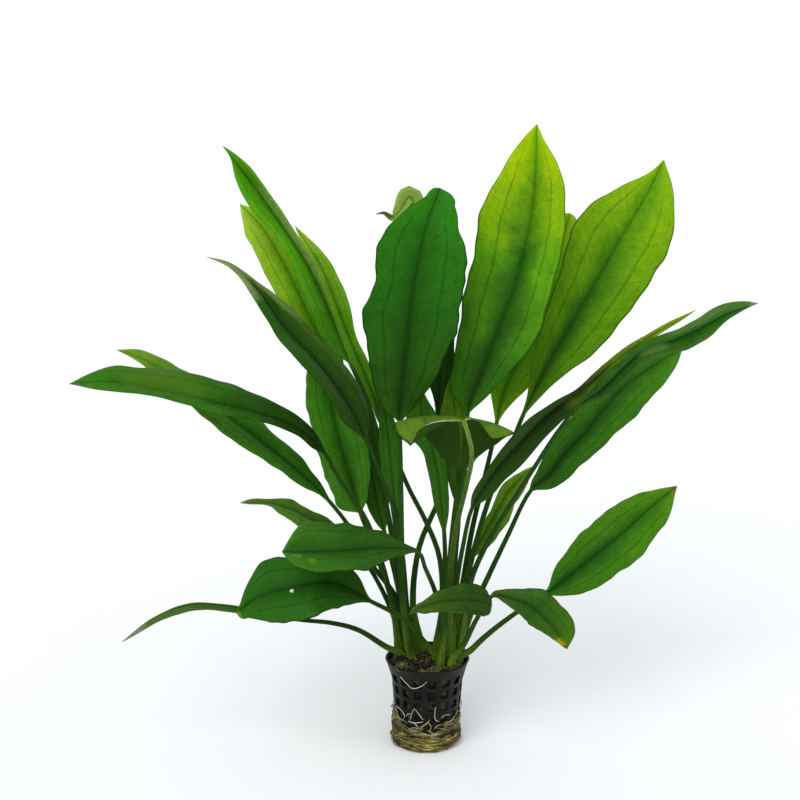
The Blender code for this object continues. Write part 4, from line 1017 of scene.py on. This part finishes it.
def leaf_section(look, halves, stalk, fold, waves):
    """The leaf's section from its left to its right edge, in mm: the places of the upper and of
    the lower side, each as (across, up)."""
    shares = SECTION_SHARES
    out = np.abs(shares)
    sign = np.sign(shares)
    left_half = shares < 0
    half = np.where(left_half, halves[0], halves[1])
    blade_part = min(max((max(halves) - stalk) / 2, 0.0), 1.0)
    bulge = look.get("bulge", 0.06)
    side_ways = out * half * math.cos(fold)
    up = out * half * math.sin(fold) + 2.6 * bulge * half * out * (1 - out**2)
    up = up + np.where(left_half, waves[0], waves[1]) * out**2 * blade_part
    path = np.stack((sign * side_ways, up), axis=1)
    slope = np.gradient(path, axis=0)
    slope /= np.maximum(np.linalg.norm(slope, axis=1, keepdims=True), 1e-9)
    normal = np.stack((-slope[:, 1], slope[:, 0]), axis=1)
    roundness = np.sqrt(np.maximum(1 - shares**2, 0.0))
    sheet = SHEET_mm / 2 * roundness**0.5
    outward = out * half
    groove = 0.35 * stalk * np.exp(-(outward / 0.9) ** 2)
    keel = (0.15 + 1.25 * stalk) * np.exp(-(outward / (0.4 + 0.9 * stalk)) ** 2) * roundness
    round_stalk = max(stalk, TIP_HALF_WIDTH_mm / 2) * roundness * 0.9
    above = (1 - blade_part) * (round_stalk - groove * 0.6) + blade_part * (sheet - groove * 0.5)
    below = (1 - blade_part) * round_stalk + blade_part * (sheet + keel)
    return path + normal * above[:, None], path - normal * below[:, None]


def leaf_rows(leaf, look, chance):
    """For each station: the points of the upper side, those of the lower side, and the share of
    the blade's length passed (below 0 on the stalk)."""
    at, whole, blade_start = leaf_route(leaf)
    wave_mm, wave_count = look["wave"]
    phases = [chance.uniform(0, 2 * math.pi) for _ in range(8)]
    nudge = 0.5 * MM
    rows = []
    for length in leaf_stations(whole, blade_start, look.get("stations", BLADE_STATIONS)):
        centre = at(length)
        tangent = unit(at(min(length + nudge, whole)) - at(max(length - nudge, 0)))
        toward = np.array(leaf["across"]) if "across" in leaf else np.cross(unit(centre - EYE), tangent)
        across = unit(toward - tangent * np.dot(toward, tangent))
        upper = np.cross(across, tangent)
        along = (length - blade_start) / (whole - blade_start)
        passed = min(max(along, 0.0), 1.0)
        turn = math.radians(along_blade(leaf["turn_deg"], passed))
        across, upper = (
            across * math.cos(turn) + upper * math.sin(turn),
            upper * math.cos(turn) - across * math.sin(turn),
        )
        stalk = stalk_radius_mm(min(length / blade_start, 1.0)) * (1 - passed)
        halves = [1.1 * stalk, 1.1 * stalk]
        waves = [0.0, 0.0]
        if along > 0:
            for side, name in enumerate(("left_mm", "right_mm")):
                phase, drift, slow, slow_drift = phases[4 * side:4 * side + 4]
                swell = 0.022 * math.sin(2 * math.pi * wave_count * 1.3 * passed + slow)
                swell += 0.012 * math.sin(2 * math.pi * wave_count * 3.1 * passed + slow_drift)
                halves[side] = blade_half_mm(leaf, name, passed, stalk) * (1 + swell)
                lift = math.sin(2 * math.pi * wave_count * passed + phase)
                lift += 0.4 * math.sin(2 * math.pi * wave_count * 2.3 * passed + drift)
                waves[side] = wave_mm * lift * math.sin(math.pi * passed) ** 0.5 if passed < 1 else 0.0
        fold = math.radians(along_blade(leaf["fold_deg"], passed)) * min(passed / FULL_FOLD_AT, 1.0)
        above, below = leaf_section(look, halves, stalk, fold, waves)
        axes = np.stack((across, upper)) * MM
        station = along if along > 0 else (length - blade_start) / blade_start
        rows.append((centre + above @ axes, centre + below @ axes, station))
    return rows


def leaf_mesh(name, leaf, look, chance):
    """A closed thin skin round the leaf. The first UV direction runs across it, 0 to 1 on the
    upper side and 2 to 3 on the lower, and the second along it."""
    rows = leaf_rows(leaf, look, chance)
    width = len(SECTION_SHARES)
    ring = 2 * width - 2
    points = []
    for above, below, _ in rows:
        points += list(above) + list(below[-2:0:-1])
    faces = []
    corners = []
    for level in range(len(rows) - 1):
        here = level * ring
        for corner in range(ring):
            after = (corner + 1) % ring
            faces.append((here + corner, here + after, here + ring + after, here + ring + corner))
            lower = corner >= width - 1
            first, second = (corner, corner + 1) if not lower else (ring - corner, ring - corner - 1)
            spots = [(SECTION_SHARES[spot] + 1) / 2 + 2 * lower for spot in (first, second)]
            low, high = rows[level][2], rows[level + 1][2]
            corners.append(((spots[0], low), (spots[1], low), (spots[1], high), (spots[0], high)))
    faces.append(tuple(range(ring)))
    corners.append(((0.5, -1.0),) * ring)
    faces.append(tuple(range((len(rows) - 1) * ring, len(rows) * ring)))
    corners.append(((0.5, 1.0),) * ring)
    mesh = bpy.data.meshes.new(name)
    mesh.from_pydata([tuple(point) for point in points], [], faces)
    layer = mesh.uv_layers.new(name="UVMap")
    layer.data.foreach_set("uv", [value for face in corners for corner in face for value in corner])
    shape = bmesh.new()
    shape.from_mesh(mesh)
    bmesh.ops.recalc_face_normals(shape, faces=shape.faces)
    shape.to_mesh(mesh)
    shape.free()
    return mesh


def build_leaves():
    for number, (name, leaf) in enumerate(LEAVES.items()):
        look = LOOKS[name]
        chance = random.Random(100 + number)
        skin = leaf_mesh(name + "_skin", leaf, look, chance)
        material = leaf_material(name + "_green", look, chance.uniform(0, 3))
        dress(new_object(name + "_skin", skin, material), "leaf", name)


def pot_radius_mm(height_mm):
    """Outer radius of the pot's wall at a height."""
    if height_mm <= COLLAR_HEIGHT_mm:
        share = (height_mm - FLOOR_HEIGHT_mm) / (COLLAR_HEIGHT_mm - FLOOR_HEIGHT_mm)
        return FLOOR_RADIUS_mm + share * (COLLAR_RADIUS_mm - FLOOR_RADIUS_mm)
    share = (height_mm - COLLAR_HEIGHT_mm) / (LIP_HEIGHT_mm - COLLAR_HEIGHT_mm)
    return COLLAR_RADIUS_mm + share * (LIP_RADIUS_mm - COLLAR_RADIUS_mm)


def build_pot():
    """The net pot with finely rounded walls and eased window edges."""
    rows = []
    for row in reversed(range(WINDOW_ROWS)):
        lower = TOP_WINDOW_mm - row * WINDOW_PITCH_mm
        rows.append((lower, lower + WINDOW_HEIGHT_mm))
    heights = sorted([FLOOR_HEIGHT_mm] + [edge for row in rows for edge in row] + [COLLAR_HEIGHT_mm, LIP_HEIGHT_mm])
    outline = [(ring, FLOOR_HEIGHT_mm) for ring in FLOOR_RINGS_mm]
    outline += [(pot_radius_mm(height), height) for height in heights]
    outline.append((RIM_RADIUS_mm, RIM_HEIGHT_mm))
    half_window = math.pi * WINDOW_SHARE / WINDOW_COLUMNS
    half_rib = math.pi / WINDOW_COLUMNS - half_window
    first = math.radians(FIRST_COLUMN_deg)
    sides = []
    for column in range(WINDOW_COLUMNS):
        middle = first + column * 2 * math.pi / WINDOW_COLUMNS
        sides += list(middle + np.linspace(-half_window, half_window, ARC_STEPS, endpoint=False))
        sides += list(middle + half_window + np.linspace(0, 2 * half_rib, ARC_STEPS, endpoint=False))
    shape = bmesh.new()
    centre = shape.verts.new((0, 0, FLOOR_HEIGHT_mm * MM))
    rings = [
        [shape.verts.new((radius * MM * math.cos(side), radius * MM * math.sin(side), height * MM))
         for side in sides]
        for radius, height in outline
    ]
    count = len(sides)
    for side in range(count):
        shape.faces.new((centre, rings[0][(side + 1) % count], rings[0][side]))
    lower_edges = {row[0] for row in rows}
    for level, (lower, upper) in enumerate(zip(rings, rings[1:])):
        for side in range(count):
            in_window = side % (2 * ARC_STEPS) < ARC_STEPS
            every_other = side % (4 * ARC_STEPS) < ARC_STEPS
            if level == 0 and every_other:
                continue
            if level > 0 and outline[level][1] in lower_edges and in_window:
                continue
            after = (side + 1) % count
            shape.faces.new((lower[side], lower[after], upper[after], upper[side]))
    mesh = bpy.data.meshes.new("net_pot")
    shape.to_mesh(mesh)
    shape.free()
    pot = new_object("net_pot", mesh, pot_material(), smooth=False)
    wall = pot.modifiers.new("wall", "SOLIDIFY")
    wall.thickness = POT_WALL_mm * MM
    wall.offset = -1.0
    wall.use_even_offset = True
    ease = pot.modifiers.new("ease", "BEVEL")
    ease.width = 0.25 * MM
    ease.segments = 2
    ease.angle_limit = math.radians(40)
    mesh.shade_smooth()
    dress(pot, "pot_plastic", "pot")


def medium_height_mm(x, y, share):
    """Height of the medium's top: small lumps and hollows, lower at the wall."""
    coarse = noise.fractal(Vector((x, y, 3.0)) * 0.2, 0.9, 2.0, 4)
    fine = noise.fractal(Vector((x, y, 9.0)) * 0.9, 0.9, 2.0, 3)
    height = MEDIUM_TOP_mm + 2.4 + 2.2 * coarse + 0.9 * fine
    return min(height - 3.5 * share**10, HEAP_TOP_mm)


def build_clods():
    """Clods of wet fibre and moss, heaped in front of and between the stalks."""
    kinds = {
        True: ([], [], clod_material("clod_moss", "#0d1004", "#4a4c16", "#a09a48")),
        False: ([], [], clod_material("clod_wet", "#030201", "#100c05", "#4a3e1e")),
    }
    around, levels = 36, 22
    for number, (x, y, height, radius, mossy) in enumerate(CLODS_mm):
        points, faces, _ = kinds[mossy]
        start = len(points)
        for level in range(levels + 1):
            polar = math.pi * level / levels
            for turn in range(around):
                angle = 2 * math.pi * turn / around
                way = Vector((math.sin(polar) * math.cos(angle), math.sin(polar) * math.sin(angle), math.cos(polar)))
                rough = noise.fractal(way * 1.6 + Vector((number * 7.0, 0, 0)), 0.7, 2.1, 5)
                reach = radius * (1 + 0.34 * rough)
                spot = Vector((x, y, height)) + Vector((way.x, way.y, way.z * 0.85)) * reach
                points.append(tuple(spot * MM))
        for level in range(levels):
            for turn in range(around):
                after = (turn + 1) % around
                here = start + level * around
                faces.append((here + turn, here + around + turn, here + around + after, here + after))
    for name, mossy in (("clods_moss", True), ("clods_wet", False)):
        points, faces, material = kinds[mossy]
        dress(new_object(name, closed_mesh(name, points, faces), material), "rockwool")


def build_medium():
    """The rockwool plug: its top is heaped and lumpy, its sides fill the windows."""
    around, rings = 220, 60
    inset = POT_WALL_mm + 0.4
    foot = FLOOR_HEIGHT_mm + POT_WALL_mm + 0.3
    points = []
    for step in range(rings + 1):
        share = step / rings
        radius = (pot_radius_mm(MEDIUM_TOP_mm) - inset) * share
        for turn in range(around):
            angle = 2 * math.pi * turn / around
            x, y = radius * math.cos(angle), radius * math.sin(angle)
            points.append((x * MM, y * MM, medium_height_mm(x, y, share) * MM))
    sides = 30
    for step in range(1, sides + 1):
        height = MEDIUM_TOP_mm - 2.5 - (MEDIUM_TOP_mm - 2.5 - foot) * step / sides
        for turn in range(around):
            angle = 2 * math.pi * turn / around
            spot = Vector((math.cos(angle) * 6, math.sin(angle) * 6, height * 0.4))
            bulge = 0.9 * noise.fractal(spot, 0.8, 2.0, 4)
            radius = pot_radius_mm(height) - inset - 0.6 + min(bulge, 0.6)
            points.append((radius * math.cos(angle) * MM, radius * math.sin(angle) * MM, height * MM))
    faces = []
    for step in range(rings + sides):
        for turn in range(around):
            after = (turn + 1) % around
            here = step * around
            faces.append((here + turn, here + around + turn, here + around + after, here + after))
    faces.append(tuple((rings + sides) * around + turn for turn in range(around)))
    plug = new_object("rockwool_plug", closed_mesh("rockwool_plug", points, faces), rockwool_material())
    dress(plug, "rockwool", "growing_medium")


def build_litter():
    """Dead fibres and fine roots lying on the medium and its clods."""
    chance = random.Random(31)
    points, faces = [], []
    for _ in range(LITTER_FIBRES):
        x, y = chance.uniform(-20, 20), chance.uniform(-21, 8)
        if math.hypot(x, y) > 20:
            continue
        heading = chance.uniform(0, 2 * math.pi)
        curl = chance.gauss(0, 0.25)
        route = []
        for _ in range(chance.randint(4, 9)):
            lift = heap_height_mm(x, y) + chance.uniform(0.0, 0.5)
            route.append((x * MM, y * MM, lift * MM))
            heading += curl + chance.gauss(0, 0.25)
            x, y = x + 0.8 * math.cos(heading), y + 0.8 * math.sin(heading)
            if math.hypot(x, y) > 21.5:
                break
        if len(route) > 2:
            radius = chance.uniform(0.09, 0.2) * MM
            tube(points, faces, route, [radius] * len(route), sides=5)
    fibre = root_material("litter_fibre", "#2a2210", "#6b5c30", "#c9bd8c")
    dress(new_object("medium_litter", mesh_of("medium_litter", points, faces), fibre), "rockwool")


def heap_height_mm(x, y):
    """Height of the clods or, where there is none, of the medium."""
    height = medium_height_mm(x, y, math.hypot(x, y) / 22)
    for clod_x, clod_y, middle, radius, _ in CLODS_mm:
        inside = radius**2 - (x - clod_x) ** 2 - (y - clod_y) ** 2
        if inside > 0:
            height = max(height, middle + 0.85 * math.sqrt(inside))
    return height


def tube(points, faces, route, radii, sides=6):
    """Adds a closed tube along a route to the lists of points and faces."""
    route = np.asarray(route)
    tangents = np.gradient(route, axis=0)
    start = len(points)
    side = None
    for spot, tangent, radius in zip(route, tangents, radii):
        tangent = unit(tangent)
        if side is None:
            guess = np.array((0.0, 0.0, 1.0)) if abs(tangent[2]) < 0.9 else np.array((1.0, 0.0, 0.0))
            side = np.cross(tangent, guess)
        side = unit(side - tangent * np.dot(side, tangent))
        other = np.cross(tangent, side)
        for corner in range(sides):
            angle = 2 * math.pi * corner / sides
            points.append(spot + radius * (side * math.cos(angle) + other * math.sin(angle)))
    for level in range(len(route) - 1):
        here = start + level * sides
        for corner in range(sides):
            after = (corner + 1) % sides
            faces.append((here + corner, here + after, here + sides + after, here + sides + corner))
    faces.append(tuple(start + corner for corner in reversed(range(sides))))
    end = start + (len(route) - 1) * sides
    faces.append(tuple(end + corner for corner in range(sides)))


def mat_edge_mm(angle):
    """How high the matted roots reach at a side."""
    return MAT_EDGE_mm + MAT_CLIMB_mm * abs(math.cos(angle)) ** 4


def mat_radius_mm(height_mm, angle):
    """Outer radius of the root mat at a height and side: drawn in raggedly under its foot,
    fuller on the left, and against the pot's wall at its upper edge."""
    fullness = MAT_FULLNESS_mm * math.cos(angle - MAT_FULLEST) * max(1 - height_mm / 20, 0)
    ragged = 1 + 0.7 * noise.noise(Vector((4 * math.cos(angle), 4 * math.sin(angle), 0.0)))
    by_foot = MAT_RADIUS_mm + fullness - 2.0 * ragged * max(1 - height_mm / 6, 0) ** 1.5
    on_wall = pot_radius_mm(max(height_mm, FLOOR_HEIGHT_mm)) + 0.5
    return by_foot + (on_wall - by_foot) * min(height_mm / mat_edge_mm(angle), 1) ** 3


def strand(chance, angle, share, drift, steps, rise, over):
    """A root lying on the mat: it starts at an angle and a share of the mat's height, wanders
    as it goes and may climb over the mat's edge by so many mm."""
    route = []
    height = share * mat_edge_mm(angle)
    proud = chance.uniform(-0.5, 0.4)
    heading = chance.uniform(-rise, rise)
    for _ in range(steps):
        heading = min(max(heading * 0.93 + chance.gauss(0, 0.2), -1.1), 1.1)
        height = min(max(height + heading, 0.6), mat_edge_mm(angle) + over)
        angle += drift * (0.6 + 0.8 * chance.random())
        proud = min(max(proud + chance.gauss(0, 0.16), -0.8), 0.6)
        radius = mat_radius_mm(height, angle) + max(proud, 0.3 * (height > mat_edge_mm(angle)))
        route.append((radius * math.cos(angle), radius * math.sin(angle), height))
    return np.array(route) * MM


def add_strands(name, material, seed, groups):
    """Joins many strands in one mesh. A group is (bundles, roots in a bundle, lowest and highest
    start as a share of the mat's height, drift in degrees a step, steps, steepest rise a step,
    how far over the mat's edge, thinnest and thickest radius), in mm."""
    chance = random.Random(seed)
    points, faces = [], []
    for number, together, low, high, drift, steps, rise, over, thin, thick in groups:
        for _ in range(number):
            way = math.radians(drift) * chance.choice((-1, 1))
            count = int(steps * chance.uniform(0.6, 1.3))
            leader = strand(
                chance, chance.uniform(0, 2 * math.pi), chance.uniform(low, high), way, count, rise, over
            )
            for _ in range(together):
                apart = [[chance.gauss(0, 0.12) for _ in range(3)] for _ in range(count)]
                start = [chance.gauss(0, 0.5) * (together > 1) for _ in range(3)]
                route = leader + (np.cumsum(apart, axis=0) + start) * (together > 1) * MM
                route[:, 2] = np.maximum(route[:, 2], 0.5 * MM)
                radius = chance.uniform(thin, thick) * MM
                radii = radius * np.interp(np.linspace(0, 1, count), (0, 0.15, 0.7, 1), (0.5, 1, 0.9, 0.3))
                tube(points, faces, route, radii)
    roots = new_object(name, mesh_of(name, points, faces), material)
    dress(roots, "roots")
    return roots


def build_root_wad(material):
    """The dark wad of grown-together roots inside the mat, with a ragged upper edge."""
    around, levels = 180, 44
    points = []
    for level in range(levels + 1):
        share = level / levels
        for turn in range(around):
            angle = 2 * math.pi * turn / around
            if share < 0.3:
                height, radius = 0.0, (mat_radius_mm(0, angle) - 1.1) * share / 0.3
            else:
                climb = (share - 0.3) / 0.7
                edge = noise.noise(Vector((math.cos(angle) * 5, math.sin(angle) * 5, 1.0)))
                height = (mat_edge_mm(angle) * (0.85 + 0.4 * edge)) * climb
                radius = mat_radius_mm(height, angle) - 1.1 * (1 - climb**4)
            spot = Vector((math.cos(angle) * 3, math.sin(angle) * 3, height * 0.35))
            rough = noise.fractal(spot, 0.8, 2.0, 4)
            grow = 0.6 * rough * min(radius / 8, 1.0) if height > 0 else 0.0
            points.append(
                ((radius + grow) * math.cos(angle) * MM, (radius + grow) * math.sin(angle) * MM, height * MM)
            )
    faces = []
    for level in range(levels):
        for turn in range(around):
            after = (turn + 1) % around
            here = level * around
            faces.append((here + turn, here + after, here + around + after, here + around + turn))
    faces.append(tuple(levels * around + turn for turn in range(around)))
    wad = new_object("root_wad", closed_mesh("root_wad", points, faces), material)
    dress(wad, "roots", "root_mat")


def build_roots():
    wad_brown = root_material("root_wad", "#0c0901", "#241c07", "#4a3e16")
    brown = root_material("root_brown", "#221a05", "#4c3d0c", "#857022")
    ochre = root_material("root_ochre", "#3c3008", "#78641a", "#bda84c")
    olive = root_material("root_olive", "#3c3c14", "#7f7c42", "#bcb884")
    pale = root_material("root_pale", "#6a6848", "#a8a67e", "#dedcc4")
    white = root_material("root_white", "#a19e88", "#cfcdbf", "#f0efe6")
    build_root_wad(wad_brown)
    add_strands("roots_brown", brown, 20, (
        (20, 4, 0.1, 0.9, 5.0, 22, 0.35, 0.0, 0.22, 0.45),
    ))
    add_strands("roots_old", ochre, 21, (
        (20, 4, 0.03, 0.8, 5.0, 24, 0.3, 0.0, 0.18, 0.4),
        (16, 1, 0.05, 0.7, 5.0, 26, 0.3, 0.0, 0.35, 0.6),
    ))
    add_strands("roots_olive", olive, 23, (
        (30, 2, 0.4, 1.0, 4.0, 14, 0.7, 3.0, 0.14, 0.32),
    ))
    add_strands("roots_young", pale, 22, (
        (110, 1, 0.6, 1.2, 3.0, 9, 1.0, 5.0, 0.11, 0.24),
        (26, 1, 0.1, 0.9, 5.0, 20, 0.3, 1.0, 0.14, 0.26),
    ))
    stout = root_material("root_stout", "#5c5a2c", "#8f8c50", "#c6c290")
    build_front_roots("roots_stout", STOUT_ROOTS, stout)
    build_front_roots("roots_front", FRONT_ROOTS, white)


def on_pot_front(across, down, proud_mm):
    """The point of the pot's front wall that shows at a place of the front view."""
    depth = -20.0 * MM
    for _ in range(12):
        spot = place(across, down, depth)
        height = max(spot[2] / MM, 0.0)
        angle = math.atan2(spot[1], spot[0])
        on_mat = height < mat_edge_mm(angle)
        radius = max(pot_radius_mm(max(height, FLOOR_HEIGHT_mm)), mat_radius_mm(height, angle) * on_mat)
        depth = -math.sqrt(max(((radius + proud_mm) * MM) ** 2 - spot[0] ** 2, 0.0))
    return place(across, down, depth)


def build_front_roots(name, routes, material):
    """Roots that can be told apart on the front, each drawn where it lies."""
    points, faces = [], []
    for radius_mm, *route in routes:
        at, marks = smooth_route([on_pot_front(*spot, 0.5 + radius_mm) for spot in route])
        curve = [at(length) for length in np.linspace(0, marks[-1], 24)]
        radii = radius_mm * MM * np.interp(np.linspace(0, 1, 24), (0, 0.2, 0.8, 1), (0.7, 1, 1, 0.5))
        tube(points, faces, curve, radii)
    dress(new_object(name, mesh_of(name, points, faces), material), "roots")


def dress_crowns():
    material = root_material("crown_fibre", "#3a3a14", "#5f6428", "#8b9040")
    for name in ("crown_left", "crown_right"):
        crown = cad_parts[name]
        crown.data.materials.clear()
        crown.data.materials.append(material)


def build_stage():
    bpy.ops.mesh.primitive_plane_add(size=FLOOR_SIZE_m, location=(0, 0, -0.0002))
    floor = bpy.context.active_object
    floor.name = "floor"
    floor.data.materials.append(floor_material())
    world = bpy.data.worlds.new("soft_light")
    bpy.context.scene.world = world
    world.use_nodes = True
    sky = world.node_tree.nodes["Background"]
    sky.inputs["Color"].default_value = SKY_COLOUR
    sky.inputs["Strength"].default_value = SKY_STRENGTH
    for name, strength, spread_deg, tilt_deg, turn_deg in LAMPS:
        data = bpy.data.lights.new(name, "SUN")
        data.energy = strength
        data.angle = math.radians(spread_deg)
        lamp = bpy.data.objects.new(name, data)
        lamp.rotation_euler = (math.radians(tilt_deg), 0, math.radians(turn_deg))
        bpy.context.scene.collection.objects.link(lamp)


def build_camera():
    data = bpy.data.cameras.new("front_view")
    data.sensor_width = 36.0
    data.lens = data.sensor_width * VIEW_FOCAL / VIEW_SIDE
    data.clip_end = 100.0
    camera = bpy.data.objects.new("front_view", data)
    camera.location = EYE
    camera.rotation_euler = (math.pi / 2 - EYE_DOWN, 0, 0)
    bpy.context.scene.collection.objects.link(camera)
    bpy.context.scene.camera = camera


def main():
    build_camera()
    build_stage()
    build_pot()
    build_medium()
    build_clods()
    build_litter()
    build_roots()
    dress_crowns()
    build_leaves()
    bpy.context.scene.view_settings.view_transform = "Standard"


main()
bpy.context.view_layer.update()
